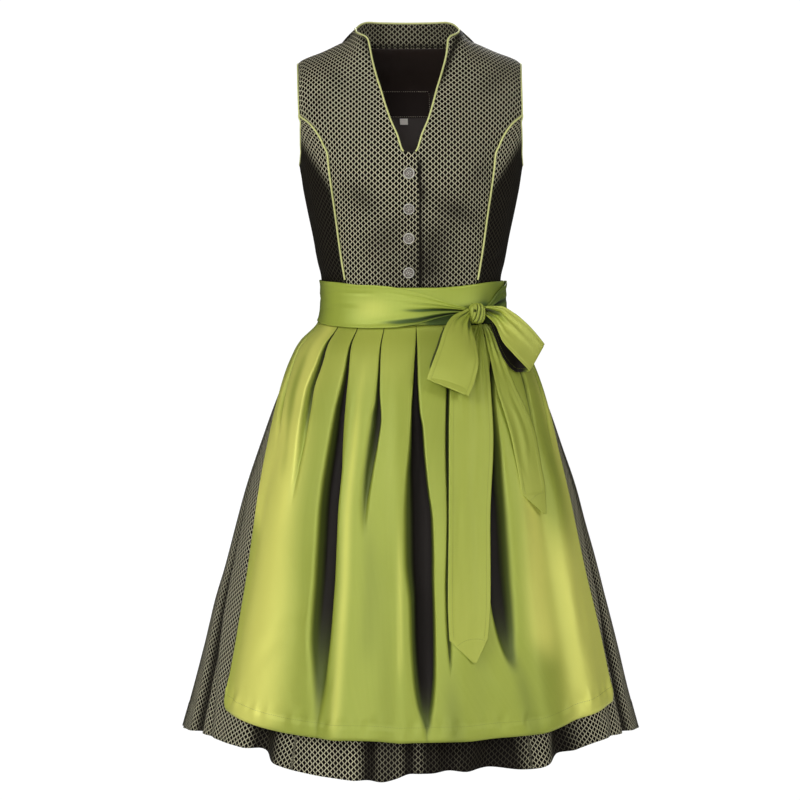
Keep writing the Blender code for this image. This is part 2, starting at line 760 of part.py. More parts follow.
def neck_line():
    """Up one neck edge, round the collar's top and down the other neck edge."""
    first, last = NECK_ROW + NECK_PIPING["short"], TOP_ROW - NECK_PIPING["short"]
    parts = [i / (NECK_PIPING["points"] - 1) for i in range(NECK_PIPING["points"])]
    steps = [first + (last - first) * part for part in parts]
    right = flipped([off_edge(front_panel, 0, step / TOP_ROW, JACQUARD) for step in steps])
    left = [off_edge(underlap_panel, 0, step / TOP_ROW, JACQUARD) for step in steps]
    turns = [1 - i / COLLAR_COLUMNS for i in range(COLLAR_COLUMNS + 1)]
    behind = [off_edge(back_collar, turn, 1, JACQUARD) for turn in turns]
    return right + behind + left[::-1]


def princess_line():
    """Up the princess seam, on the surface of the cloth."""
    run = []
    for i in range(PRINCESS_PIPING["points"]):
        share = i / (PRINCESS_PIPING["points"] - 1)
        level = PRINCESS_PIPING["bottom"] + (PRINCESS_PIPING["top"] - PRINCESS_PIPING["bottom"]) * share
        x = princess(level)
        run.append(torso(x, level) + outward(form_degrees(x, level), level) * (PIPING_RADIUS + 2 * SEAM_GAP))
    return run


def armhole_line():
    """Round the armhole: up its front edge, down its back edge and along the underarm."""
    front = [off_edge(front_panel, 1, row / TOP_ROW, JACQUARD) for row in range(ARMHOLE_ROW, TOP_ROW)]
    rows = len(BACK_ROWS) - 1
    back_row, count = ARMHOLE_PIPING["back_row"], ARMHOLE_PIPING["under_points"]
    back = [off_edge(back_panel, 0, row / rows, JACQUARD) for row in range(rows - 1, back_row, -1)]
    under = [off_edge(side_panel, 1 - i / count, 1, JACQUARD) for i in range(count)]
    return front + back + under


def build_piping():
    piping("piping_neck", neck_line())
    piping("piping_princess_left", princess_line())
    piping("piping_princess_right", flipped(princess_line()))
    piping("piping_armhole_left", armhole_line(), closed=True)
    piping("piping_armhole_right", flipped(armhole_line()), closed=True)


BUTTON = {"radius": 0.00725, "height": 0.0036, "rim": 0.0012, "x": -0.0035, "gap": 0.0011}
BUTTON_LEVELS = (-0.1745, -0.2197, -0.2576, -0.3024)


def build_button(number, level):
    """A turned metal button with a raised rim and a domed middle, facing out of the front."""
    work = bmesh.new()
    radius, height, rim = BUTTON["radius"], BUTTON["height"], BUTTON["rim"]
    profile = [(0, 0), (radius * 0.86, 0), (radius, height * 0.35), (radius * 0.97, height * 0.75),
               (radius - rim, height * 0.62), (radius * 0.45, height), (0, height)]
    verts = [work.verts.new((distance, 0, up)) for distance, up in profile]
    edges = [work.edges.new(pair) for pair in zip(verts, verts[1:])]
    bmesh.ops.spin(work, geom=verts + edges, cent=(0, 0, 0), axis=(0, 0, 1), angle=2 * math.pi, steps=16)
    bmesh.ops.remove_doubles(work, verts=work.verts, dist=1e-6)
    button = finish_mesh(f"button_{number}", work, button_metal())
    place = torso(BUTTON["x"], level)
    down = torso(BUTTON["x"], level - 0.004) - torso(BUTTON["x"], level + 0.004)
    facing = Vector((0, -down.z, down.y)).normalized()
    facing = -facing if facing.y > 0 else facing
    button.rotation_euler = facing.to_track_quat("Z", "Y").to_euler()
    button.location = place + facing * BUTTON["gap"]
    return button


# Bare cloth labels on the lining: distances from the centre line and levels.
LABEL = {"left": -0.0385, "right": 0.0280, "top": -0.0550, "bottom": -0.0935, "thick": 0.0008}
SIZE_TAG = {"left": -0.0150, "right": -0.0045, "top": -0.0945, "bottom": -0.1025, "thick": 0.0006}


def label_panel(patch):
    """A patch on the inside of the lining: u from +X to -X, v up."""
    def point(u, v):
        x = patch["right"] + (patch["left"] - patch["right"]) * u
        level = patch["bottom"] + (patch["top"] - patch["bottom"]) * v
        inside = JACQUARD + LINING_GAP + LINING + SEAM_GAP * 3
        return torso(x, level, back=True) - Vector((0, inside, 0))
    return point


# ---------------------------------------------------------------- assembly
# Divisions of each piece of cloth, across it and up it.
FRONT_GRID = (FRONT_COLUMNS, len(FRONT_ROWS) - 1)
SIDE_GRID = (6, 10)
BACK_GRID = (BACK_COLUMNS, len(BACK_ROWS) - 1)
COLLAR_GRID = (COLLAR_COLUMNS, 3)
LINING_GRID = (BACK_COLUMNS, LINING_ROWS)
LABEL_GRID = (4, 2)
TAG_GRID = (1, 1)
SKIRT_GRID = (36, len(SKIRT_LEVELS))
APRON_GRID = (64, len(APRON_LEVELS))
BAND_GRID = (40, 3)
LEFT_TIE_GRID = (60, 2)
RIGHT_TIE_GRID = (44, 2)
LEFT_LOOP_GRID = (4, 18)
RIGHT_LOOP_GRID = (4, 16)
LONG_TAIL_GRID = (4, 15)
SHORT_TAIL_GRID = (3, 13)


def build_bodice():
    cloth("front_right", jacquard(), JACQUARD, FRONT_GRID, mirrored(front_panel))
    cloth("front_left", jacquard(), JACQUARD, FRONT_GRID, underlap_panel)
    cloth("side_front_left", jacquard(), JACQUARD, SIDE_GRID, side_panel)
    cloth("side_front_right", jacquard(), JACQUARD, SIDE_GRID, mirrored(side_panel))
    cloth("bodice_back", jacquard(), JACQUARD, BACK_GRID, back_panel)
    cloth("back_collar", jacquard(), JACQUARD, COLLAR_GRID, back_collar)
    cloth("back_lining", lining_satin(), LINING, LINING_GRID, lining_panel)
    cloth("brand_label", label_cloth(), LABEL["thick"], LABEL_GRID, label_panel(LABEL))
    cloth("size_tag", size_tag_cloth(), SIZE_TAG["thick"], TAG_GRID, label_panel(SIZE_TAG))
    for number, level in enumerate(BUTTON_LEVELS, 1):
        build_button(number, level)


def build_skirt():
    cloth("skirt_front", jacquard(), JACQUARD, SKIRT_GRID, skirt_panel(-90, 90))
    cloth("skirt_back", jacquard(), JACQUARD, SKIRT_GRID, skirt_panel(90, 270))
    cloth("apron_panel", satin(), SATIN, APRON_GRID, apron_panel)
    cloth("apron_waistband", satin(), SATIN, BAND_GRID, waistband)


def build_bow():
    cloth("tie_to_left", satin(), SATIN, LEFT_TIE_GRID, tie(TIE_TO_LEFT, TIE_LIFTS["outer"]))
    cloth("tie_to_right", satin(), SATIN, RIGHT_TIE_GRID, tie(TIE_TO_RIGHT, TIE_LIFTS["inner"]))
    build_knot()
    cloth("bow_loop_left", satin(), SATIN, LEFT_LOOP_GRID, loop(BOW_LEFT))
    cloth("bow_loop_right", satin(), SATIN, RIGHT_LOOP_GRID, loop(BOW_RIGHT))
    cloth("tail_long", satin(), SATIN, LONG_TAIL_GRID, tail(TAIL_LONG))
    cloth("tail_short", satin(), SATIN, SHORT_TAIL_GRID, tail(TAIL_SHORT))


def main():
    for item in list(bpy.data.objects):
        bpy.data.objects.remove(item, do_unlink=True)
    build_bodice()
    build_piping()
    build_skirt()
    build_bow()


main()
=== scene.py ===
# %% [markdown]
# # Dirndl dress with a tied apron
# The dress is worn by nobody, yet keeps the hollow form it has on the body. The CAD part gives the true
# sizes, and this lesson lays fine cloth on the same form: jacquard bodice and skirt, satin apron, bow,
# piping, lining, buttons and stitches. Everything is in metres, +Z is up and the front faces -Y.

# %% Load the frame
import math
from collections import namedtuple

import bmesh
import bpy
import numpy as np
from mathutils import Matrix, Vector


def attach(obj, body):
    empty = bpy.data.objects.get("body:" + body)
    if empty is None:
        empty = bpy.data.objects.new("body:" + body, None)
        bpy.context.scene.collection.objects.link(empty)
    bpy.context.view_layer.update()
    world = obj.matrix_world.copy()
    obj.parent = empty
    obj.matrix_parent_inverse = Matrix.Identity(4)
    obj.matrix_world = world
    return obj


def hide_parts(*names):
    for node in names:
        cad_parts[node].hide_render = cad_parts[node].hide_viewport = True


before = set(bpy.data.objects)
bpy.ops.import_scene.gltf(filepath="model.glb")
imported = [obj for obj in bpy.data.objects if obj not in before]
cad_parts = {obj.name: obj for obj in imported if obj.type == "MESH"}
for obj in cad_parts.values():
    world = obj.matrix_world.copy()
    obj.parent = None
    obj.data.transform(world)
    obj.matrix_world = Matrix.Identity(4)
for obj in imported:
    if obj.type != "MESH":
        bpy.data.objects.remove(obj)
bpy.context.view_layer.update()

# %% [markdown]
# ## Camera, floor and light
# The dress is seen from straight ahead, a little from above, with a long lens so that its lines stay
# straight. One wide soft light in front does most of the work: satin shines where it faces the light and
# falls into deep shade where a fold turns away. A weaker light behind keeps the back readable.
# Painted shade and painted highlights in the cloth's colour make the folds darker and the ridges brighter still.

# %% Camera and studio
scene = bpy.context.scene
scene.view_settings.view_transform = "Standard"

camera_data = bpy.data.cameras.new("camera")
camera_data.lens = 86.36
camera = bpy.data.objects.new("camera", camera_data)
camera.location = (-0.0149, -2.6, -0.25)
camera.rotation_euler = (math.radians(85), 0, 0)
scene.collection.objects.link(camera)
scene.camera = camera


def soft_light(name, place, size, watts, aim=-0.5):
    """An area light that faces the middle of the dress, at the level aim."""
    data = bpy.data.lights.new(name, "AREA")
    data.shape = "RECTANGLE"
    data.size, data.size_y = size
    data.energy = watts
    light = bpy.data.objects.new(name, data)
    light.location = place
    light.rotation_euler = (Vector((0, 0, aim)) - Vector(place)).to_track_quat("-Z", "Y").to_euler()
    scene.collection.objects.link(light)


soft_light("key_light", (-2.2, -2.2, 1.2), (1, 1), 40)
soft_light("front_light", (-0.2, -3.3, 0), (1, 1), 27)
soft_light("right_light", (2.7, -1.7, 0.6), (0.8, 1), 24)
soft_light("top_light", (0, -1.8, 2.6), (1, 1), 8)
soft_light("back_light", (0.5, 3, 1.3), (1.6, 1.6), 46, aim=-0.45)

world = bpy.data.worlds.new("studio")
world.use_nodes = True
world_tree = world.node_tree
background = world_tree.nodes["Background"]
background.inputs["Color"].default_value = (1.0, 1.0, 1.0, 1.0)
rays = world_tree.nodes.new("ShaderNodeLightPath")
strength = world_tree.nodes.new("ShaderNodeMix")
strength.data_type = "FLOAT"
strength.inputs["A"].default_value = 0.05
strength.inputs["B"].default_value = 1.05
world_tree.links.new(rays.outputs["Is Camera Ray"], strength.inputs["Factor"])
world_tree.links.new(strength.outputs["Result"], background.inputs["Strength"])
scene.world = world

# %% The floor
FLOOR_LEVEL = -1.55


def mesh_of(work, name):
    """The worked shape as finished mesh data."""
    data = bpy.data.meshes.new(name)
    work.to_mesh(data)
    work.free()
    return data


work = bmesh.new()
bmesh.ops.create_circle(work, cap_ends=True, segments=96, radius=14.0)
bmesh.ops.translate(work, verts=work.verts, vec=(0, 0, FLOOR_LEVEL))
floor = bpy.data.objects.new("floor", mesh_of(work, "floor"))
scene.collection.objects.link(floor)
print("floor at", FLOOR_LEVEL)

# %% [markdown]
# ## Writing materials as sums
# A weave is arithmetic: where are we in the repeat, how far from the yarn, how bright is it there. A small
# class lets a socket of a shader stand in a Python expression, and each sign adds its Math node.

# %% Sockets in expressions
TURN = 2 * math.pi


def math_node(operation, swapped=False):
    """A method that adds one Math node; swapped is for a sum that starts with a plain number."""
    def method(self, *others):
        values = (*others, self) if swapped else (self, *others)
        return self.finish.node("ShaderNodeMath", {"operation": operation}, dict(enumerate(values)))
    return method


class Value:
    """The output of a shader node, used like a number."""
    __add__ = __radd__ = math_node("ADD")
    __mul__ = __rmul__ = math_node("MULTIPLY")
    __sub__, __rsub__ = math_node("SUBTRACT"), math_node("SUBTRACT", swapped=True)
    __truediv__, __abs__ = math_node("DIVIDE"), math_node("ABSOLUTE")
    sine, nearest, most = math_node("SINE"), math_node("ROUND"), math_node("MAXIMUM")

    def __init__(self, finish, socket):
        self.finish, self.socket = finish, socket

    def off_centre(self):
        """Distance to the nearest whole number, with its sign."""
        return self - self.nearest()

    def rise(self, start, end):
        """0 at start, 1 at end, smooth between."""
        return self.finish.node("ShaderNodeMapRange", {"interpolation_type": "SMOOTHSTEP"},
                                {"Value": self, "From Min": start, "From Max": end})


class Finish:
    """A material whose nodes are written as expressions."""

    def __init__(self, name, on_cloth=True, **uniform):
        self.on_cloth = on_cloth
        self.material = bpy.data.materials.new(name)
        self.material.use_nodes = True
        self.tree = self.material.node_tree
        self.shader = self.tree.nodes["Principled BSDF"]
        for socket, value in uniform.items():
            self.shader.inputs[socket.replace("_", " ")].default_value = value

    def node(self, kind, settings=None, inputs=None, output=0):
        made = self.tree.nodes.new(kind)
        for name, setting in (settings or {}).items():
            setattr(made, name, setting)
        for key, value in (inputs or {}).items():
            if isinstance(value, Value):
                self.tree.links.new(value.socket, made.inputs[key])
            else:
                made.inputs[key].default_value = value
        return Value(self, made.outputs[output])

    def spot(self):
        """Where we are: on the cloth in metres if the piece has cloth coordinates, else in space."""
        if self.on_cloth:
            return self.node("ShaderNodeUVMap", {"uv_map": "cloth"})
        return self.node("ShaderNodeTexCoord", {}, {}, "Object")

    def place(self):
        """The pattern's two coordinates in metres: across the cloth and up it."""
        spot, up_axis = self.spot(), 1 if self.on_cloth else 2
        return [self.node("ShaderNodeSeparateXYZ", {}, {0: spot}, axis) for axis in (0, up_axis)]

    def painted(self, name):
        """A number painted on the mesh. Cloth's painted shade: 1 deep in a fold, below 0 a painted highlight."""
        return self.node("ShaderNodeAttribute", {"attribute_name": name}, {}, "Fac")

    def noise(self, scale, stretch=(1, 1, 1), detail=2.0):
        """Soft random variation, from 0 to 1, finer along the axes with a large stretch."""
        spot = self.node("ShaderNodeMapping", {}, {"Vector": self.spot(), "Scale": stretch})
        return self.node("ShaderNodeTexNoise", {}, {"Vector": spot, "Scale": scale, "Detail": detail})

    def mix(self, share, first, second):
        """Between two colours."""
        return self.node("ShaderNodeMix", {"data_type": "RGBA"}, {0: share, 6: first, 7: second}, 2)

    def set(self, socket, value):
        self.tree.links.new(value.socket, self.shader.inputs[socket])

    def bump(self, height, depth):
        """Relief in the surface, depth in metres."""
        self.set("Normal", self.node("ShaderNodeBump", {}, {"Height": height, "Distance": depth}))


def colour(red, green, blue):
    """A colour as a painter's chart gives it, from 0 to 255, made linear for the shader."""
    return (*[((c / 255 + 0.055) / 1.055) ** 2.4 if c > 10 else c / 255 / 12.92 for c in (red, green, blue)], 1)


# %% [markdown]
# ## Jacquard
# A jacquard loom lifts ivory floats over a black-brown ground, so the pattern is in the cloth and not on
# it. Here it is a lattice of ivory lines around small dark diamonds, staggered from row to row. Turned by
# 45 degrees a staggered pattern is a plain square grid, so two diagonal coordinates are enough: the
# rounding of each gives the nearest diamond, and the distance from its centre gives diamond and line.

# %% Jacquard
REPEAT_ACROSS, REPEAT_UP = 0.0079, 0.0072
DIAMOND_WIDE, DIAMOND_HIGH = 0.345, 0.5
RIB_PITCH_UP, RIB_PITCH_ACROSS, JACQUARD_RELIEF = 0.00062, 0.0021, 0.00035


def jacquard_cloth(name, ivory, ground):
    finish = Finish(name, Specular_IOR_Level=0.08)
    across, up = finish.place()
    falling = across / REPEAT_ACROSS + up / REPEAT_UP
    rising = across / REPEAT_ACROSS - up / REPEAT_UP
    off_falling, off_rising = falling.off_centre(), rising.off_centre()
    wide = abs(off_falling + off_rising) / 2
    high = abs(off_falling - off_rising) / 2
    outside = (wide / DIAMOND_WIDE + high / DIAMOND_HIGH).rise(0.9, 1.08)
    line = abs(off_falling).most(abs(off_rising)).rise(0.28, 0.44)
    ribs = ((up / RIB_PITCH_UP + across / RIB_PITCH_ACROSS) * TURN).sine() * 0.5 + 0.5
    slubs = finish.noise(900, (1, 0.25, 1))
    yarn = outside * (0.14 + line * 0.86) * (0.78 + ribs * 0.12 + slubs * 0.2)
    # Painted shade: where the mesh's shade is high, the ivory floats fade into the dark ground.
    yarn = yarn * (1 - finish.painted("shade") * 0.95)
    finish.set("Base Color", finish.mix(yarn, ground, ivory))
    finish.set("Roughness", 0.62 - yarn * 0.2)
    finish.bump(yarn * 0.8 + ribs * 0.2, JACQUARD_RELIEF)
    return finish.material


jacquard = jacquard_cloth("ivory_jacquard", colour(246, 240, 204), colour(14, 8, 5))
print("jacquard repeat:", REPEAT_ACROSS, "by", REPEAT_UP)

# %% [markdown]
# ## Satin
# Satin floats its yarn over four others before it dips, so most of the surface is straight shiny thread.
# It mirrors light in its own colour, which is why part of it is treated as metallic. Broad streaks along
# the warp and a very fine rib keep it from looking like plastic.

# %% Satin
# Painted light in the satin's colour: the highlight on ridges and the near-black shade deep in folds.
PAINTED_HIGHLIGHT, PAINTED_FOLD_SHADE = colour(255, 254, 128), colour(24, 15, 10)
SATIN_RIB, SATIN_THREAD, SATIN_RELIEF = 0.0004, 0.0007, 0.00009


def satin_cloth(name, light, deep, rough, turned=(96, 108, 42), on_cloth=True):
    """Satin with a colour in full light, and painted light in its colour: a painted half-shade colour (turned),
    nearly black painted shade in folds and painted highlights on ridges.
    """
    finish = Finish(name, on_cloth, Metallic=0.18, Specular_IOR_Level=0.5)
    across, up = finish.place()
    streaks = finish.noise(240, (1, 0.04, 1))
    cloudy = finish.noise(14)
    ribs = ((up / SATIN_RIB) * TURN).sine() * 0.5 + 0.5
    threads = ((across / SATIN_THREAD) * TURN).sine() * 0.5 + 0.5
    share = streaks * 0.55 + cloudy * 0.35 + ribs * 0.05 + threads * 0.05
    shade = finish.painted("shade")
    gleaming = finish.mix((0 - shade).rise(0, 1), finish.mix(share, deep, light), PAINTED_HIGHLIGHT)
    half = finish.mix((shade * 2).rise(0, 1), gleaming, colour(*turned))
    finish.set("Base Color", finish.mix((shade * 2 - 1).rise(0, 1), half, PAINTED_FOLD_SHADE))
    finish.set("Roughness", shade.rise(0, 1) * 0.3 + (rough - 0.04 + streaks * 0.08))
    finish.bump(ribs * 0.3 + threads * 0.3 + streaks * 0.4, SATIN_RELIEF)
    return finish.material


satin = satin_cloth("green_satin", colour(182, 193, 80), colour(168, 181, 68), 0.42)
# The ties' satin is a little lighter, with a greener painted half shade.
tie_satin = satin_cloth("tie_satin", colour(190, 204, 84), colour(176, 192, 72), 0.4, turned=(78, 102, 38))
piping_satin = satin_cloth("piping_satin", colour(238, 240, 168), colour(224, 228, 146), 0.45, on_cloth=False)
lining_satin = satin_cloth("brown_lining", colour(44, 30, 22), colour(30, 18, 13), 0.4)

# %% Label, size tag, thread and metal
PLAIN_PITCH, PLAIN_RELIEF, TARNISH_RELIEF = 0.0008, 0.0001, 0.00006


def plain_weave(name, light, dark):
    finish = Finish(name, Specular_IOR_Level=0.3)
    across, up = finish.place()
    check = ((across / PLAIN_PITCH) * TURN).sine() * ((up / PLAIN_PITCH) * TURN).sine() * 0.5 + 0.5
    speckle = finish.noise(700)
    finish.set("Base Color", finish.mix(check * 0.6 + speckle * 0.4, dark, light))
    finish.set("Roughness", 0.65 + speckle * 0.1)
    finish.bump(check, PLAIN_RELIEF)
    return finish.material


label_cloth = plain_weave("label_weave", colour(38, 22, 16), colour(18, 9, 6))
tag_cloth = plain_weave("tag_weave", colour(246, 240, 232), colour(206, 200, 190))


def thread(name, light, dark):
    finish = Finish(name, on_cloth=False, Roughness=0.55)
    finish.set("Base Color", finish.mix(finish.noise(2600), dark, light))
    return finish.material


green_thread = thread("green_thread", colour(150, 160, 60), colour(92, 104, 34))
pale_thread = thread("pale_thread", colour(250, 240, 220), colour(205, 192, 170))


def old_silver(name):
    """Nickel that has darkened in the hollows: bright on what stands proud."""
    finish = Finish(name, on_cloth=False, Metallic=0.55)
    tarnish = finish.noise(420, detail=4.0)
    shine = (finish.painted("proud") * 0.75 + tarnish * 0.35).rise(0.15, 0.85)
    finish.set("Base Color", finish.mix(shine, colour(104, 96, 86), colour(255, 252, 244)))
    finish.set("Roughness", 0.5 - shine * 0.22)
    finish.bump(tarnish, TARNISH_RELIEF)
    return finish.material


button_silver = old_silver("old_silver")


def studio_floor(name):
    """A pale floor that glows for the eye alone, so that it melts into the backdrop and lights nothing."""
    finish = Finish(name, on_cloth=False, Roughness=0.9)
    finish.set("Base Color", finish.mix(finish.noise(0.6), colour(236, 236, 234), colour(246, 246, 245)))
    seen = finish.node("ShaderNodeLightPath", {}, {}, "Is Camera Ray")
    glow = finish.node("ShaderNodeEmission", {}, {"Color": (1, 1, 1, 1), "Strength": 1.05})
    surface = Value(finish, finish.shader.outputs[0])
    both = finish.node("ShaderNodeMixShader", {}, {0: seen * 0.97, 1: surface, 2: glow})
    finish.tree.links.new(both.socket, finish.tree.nodes["Material Output"].inputs[0])
    return finish.material


floor.data.materials.append(studio_floor("studio_floor"))
print("materials:", sorted(m.name for m in bpy.data.materials))

# %% [markdown]
# ## The form the cloth lies on
# Cloth needs something to lie on before it can fold. The form is a stack of level rings from the collar to
# the hem, each a rounded oval with its own width and depth, and the shoulder line closes it at the top.
# Every panel is a rule that turns two numbers, across and up, into a place on this form.

# %% Tables with a smooth curve through their rows
class Table:
    """Rows of named columns. A smooth curve that never overshoots runs through each column."""

    def __init__(self, columns, *rows):
        self.columns = columns.split()
        self.rows = np.array(sorted(rows), float)
        self.places = self.rows[:, 0]
        steps = np.diff(self.rows, axis=0) / np.diff(self.places)[:, None]
        before, after = steps[:-1], steps[1:]
        product = before * after
        total = np.where(product > 0, before + after, 1.0)
        inner = np.where(product > 0, 2 * product / total, 0.0)
        self.slopes = np.vstack([steps[:1], inner, steps[-1:]])

    def at(self, column, place):
        pick = self.columns.index(column)
        place = np.clip(place, self.places[0], self.places[-1])
        low = np.clip(np.searchsorted(self.places, place, side="right") - 1, 0, len(self.places) - 2)
        width = self.places[low + 1] - self.places[low]
        s = (place - self.places[low]) / width
        values, slopes = self.rows[:, pick], self.slopes[:, pick]
        return ((2 * s ** 3 - 3 * s ** 2 + 1) * values[low] + (s ** 3 - 2 * s ** 2 + s) * width * slopes[low]
                + (3 * s ** 2 - 2 * s ** 3) * values[low + 1] + (s ** 3 - s ** 2) * width * slopes[low + 1])


def smooth(start, end, value):
    """0 at start, 1 at end, a smooth rise between."""
    s = np.clip((value - start) / (end - start), 0.0, 1.0)
    return s * s * (3 - 2 * s)


def bell(value, middle=0.0, width=1.0):
    """1 in the middle, falling softly to 0 on both sides."""
    return np.exp(-((value - middle) / width) ** 2)


def unit(vectors):
    """The same directions, each of length 1."""
    return vectors / np.maximum(np.linalg.norm(vectors, axis=-1, keepdims=True), 1e-12)


def lengths(places, axis=0):
    """Distance run along a line or a grid from its first point, row or column, in metres."""
    steps = np.linalg.norm(np.diff(places, axis=axis), axis=-1)
    first = [1 if a == axis else n for a, n in enumerate(steps.shape)]
    return np.cumsum(np.concatenate([np.zeros(first), steps], axis=axis), axis=axis)


def stacked(x, y, z):
    """Places as one array, from their three coordinates."""
    return np.stack(np.broadcast_arrays(x, y, z), axis=-1).astype(float)


# %% The rings and the shoulder line
FORM = Table(
    "level half_width front back square",
    (0.04, 0.176, 0.044, 0.05, 2.3), (0, 0.176, 0.054, 0.062, 2.4),
    (-0.03, 0.175, 0.067, 0.08, 2.5), (-0.06, 0.172, 0.084, 0.093, 2.6),
    (-0.1, 0.165, 0.104, 0.101, 2.6), (-0.13, 0.1565, 0.115, 0.104, 2.5),
    (-0.16, 0.15, 0.119, 0.105, 2.4), (-0.19, 0.1455, 0.118, 0.103, 2.35),
    (-0.22, 0.1398, 0.112, 0.099, 2.3), (-0.255, 0.1325, 0.104, 0.094, 2.25),
    (-0.29, 0.1262, 0.097, 0.089, 2.2), (-0.31, 0.1215, 0.0945, 0.087, 2.2),
    (-0.33, 0.1202, 0.094, 0.0865, 2.2), (-0.35, 0.1207, 0.0955, 0.088, 2.2),
    (-0.37, 0.1245, 0.101, 0.093, 2.2), (-0.396, 0.1455, 0.123, 0.113, 2.2),
    (-0.423, 0.159, 0.142, 0.131, 2.2), (-0.45, 0.1715, 0.157, 0.146, 2.2),
    (-0.478, 0.1835, 0.17, 0.16, 2.15), (-0.532, 0.2035, 0.19, 0.181, 2.1),
    (-0.587, 0.222, 0.207, 0.199, 2.1), (-0.642, 0.2375, 0.222, 0.214, 2.05),
    (-0.698, 0.253, 0.236, 0.229, 2), (-0.753, 0.2685, 0.249, 0.242, 2),
    (-0.809, 0.2825, 0.261, 0.254, 2), (-0.865, 0.2968, 0.272, 0.266, 2),
    (-0.94, 0.3165, 0.285, 0.28, 2),
)
RIDGE = Table(
    "reach level",
    (0, 0.057), (0.05, 0.047), (0.064, 0.033), (0.0735, 0.0203), (0.0785, 0.0125), (0.085, 0.0056),
    (0.0957, 0.0008), (0.1192, -0.0098), (0.1467, -0.0204), (0.154, -0.0255), (0.18, -0.04),
)
RIDGE_ROUNDING = 0.05
BUST = {"reach": 0.074, "level": -0.172, "wide": 0.04, "high": 0.045, "depth": 0.01}


def torso(x, level, back=False):
    """The form's front or back at a distance x from the centre line."""
    half_width, square = FORM.at("half_width", level), FORM.at("square", level)
    fill = np.maximum(0.0, 1 - np.abs(x / half_width) ** square) ** (1 / square)
    drop = np.clip((RIDGE.at("level", np.abs(x)) - level) / RIDGE_ROUNDING, 0.0, 1.0)
    depth = FORM.at("back" if back else "front", level) * fill * np.sqrt(1 - (1 - drop) ** 2)
    if back:
        return stacked(x, depth, level)
    cup = bell(np.abs(x), BUST["reach"], BUST["wide"]) * bell(level, BUST["level"], BUST["high"])
    return stacked(x, -depth - BUST["depth"] * cup * fill, level)


def around(degrees, level):
    """The form at an angle from the centre front; +90 is at +X, 180 the centre back."""
    turn, square = np.radians(degrees), FORM.at("square", level)
    sine, cosine = np.sin(turn), np.cos(turn)
    depth = np.where(cosine > 0, FORM.at("front", level), FORM.at("back", level))
    x = FORM.at("half_width", level) * np.sign(sine) * np.abs(sine) ** (2 / square)
    return stacked(x, -depth * np.sign(cosine) * np.abs(cosine) ** (2 / square), level)


def outward(degrees, level):
    """The level direction straight out of the form's ring."""
    run = around(degrees + 0.5, level) - around(degrees - 0.5, level)
    return unit(stacked(run[..., 1], -run[..., 0], 0))


def off_form(degrees, level, lift):
    """A place held off the form by a distance."""
    return around(degrees, level) + outward(degrees, level) * np.asarray(lift)[..., None]


def form_degrees(x, level):
    """The angle round the form at which a distance x is reached."""
    ratio = np.minimum(np.abs(x) / FORM.at("half_width", level), 1.0)
    return np.degrees(np.arcsin(ratio ** (FORM.at("square", level) / 2)))


print("waist girth:", round(float(lengths(around(np.arange(0, 361, 3), -0.33))[-1]), 3))

# %% [markdown]
# ## Laying a panel
# A panel starts as a flat grid, like cloth on the cutting table. Each of its points is laid on the form,
# pushed in or out along the surface to make creases, and given two cloth coordinates in metres, so that
# the weave keeps its size and runs along the grain. Solidify then gives the cloth its thickness.

# %% The panel maker
Stuff = namedtuple("Stuff", "body_slot look thickness")  # what a piece is cut from
JACQUARD = Stuff("jacquard", jacquard, 0.0012)
SATIN, TIE_SATIN = Stuff("satin", satin, 0.0009), Stuff("satin", tie_satin, 0.0009)
LINING = Stuff("lining", lining_satin, 0.0008)
LABEL_WEAVE, TAG_WEAVE = Stuff("label", label_cloth, 0.0006), Stuff("size_tag", tag_cloth, 0.0004)
MEASURED, LAID = {}, {}
MIRROR = np.array([-1.0, 1.0, 1.0])
SHOULDERS_IN, SHOULDERS_ASIDE, COLLAR_ASIDE, NECK_ASIDE = 0.03, 0.0025, 0.0015, 0.0036


def finished(name, data, look, node=None):
    """The finished piece: what it is made of, what it rides on and which node of the CAD part it shows."""
    data.materials.append(look)
    piece = bpy.data.objects.new(name, data)
    scene.collection.objects.link(piece)
    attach(piece, "root")
    if node:
        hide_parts(node)
    return piece


def lay_pattern(work, spots):
    """Smooth faces, and the cloth coordinates of each point."""
    pattern = work.loops.layers.uv.new("cloth")
    for face in work.faces:
        face.smooth = True
        for corner in face.loops:
            corner[pattern].uv = spots[corner.vert]


def face_outwards(work):
    """Turn every face of a closed shape outwards."""
    bmesh.ops.recalc_face_normals(work, faces=work.faces)
    if work.calc_volume(signed=True) < 0:
        bmesh.ops.reverse_faces(work, faces=work.faces[:])


def skin_normals(places):
    """The outward normal at each point of a laid grid (rows, columns, 3)."""
    return unit(np.cross(np.gradient(places, axis=1), np.gradient(places, axis=0)))


def settled(places):
    """A worn dress never hangs quite square: shoulders, collar and neck opening sit a little to one side."""
    x, level = places[..., 0], places[..., 2]
    high, collar = smooth(-0.15, -0.03, level), smooth(-0.02, 0.025, level)
    shoulders = -(x * SHOULDERS_IN + SHOULDERS_ASIDE) * high
    standing = -(COLLAR_ASIDE + SHOULDERS_IN * np.maximum(x, 0)) * collar
    opened = -NECK_ASIDE * bell(x, -0.02, 0.036) * smooth(-0.205, -0.165, level)
    return places + stacked(shoulders + standing + opened, 0, 0)


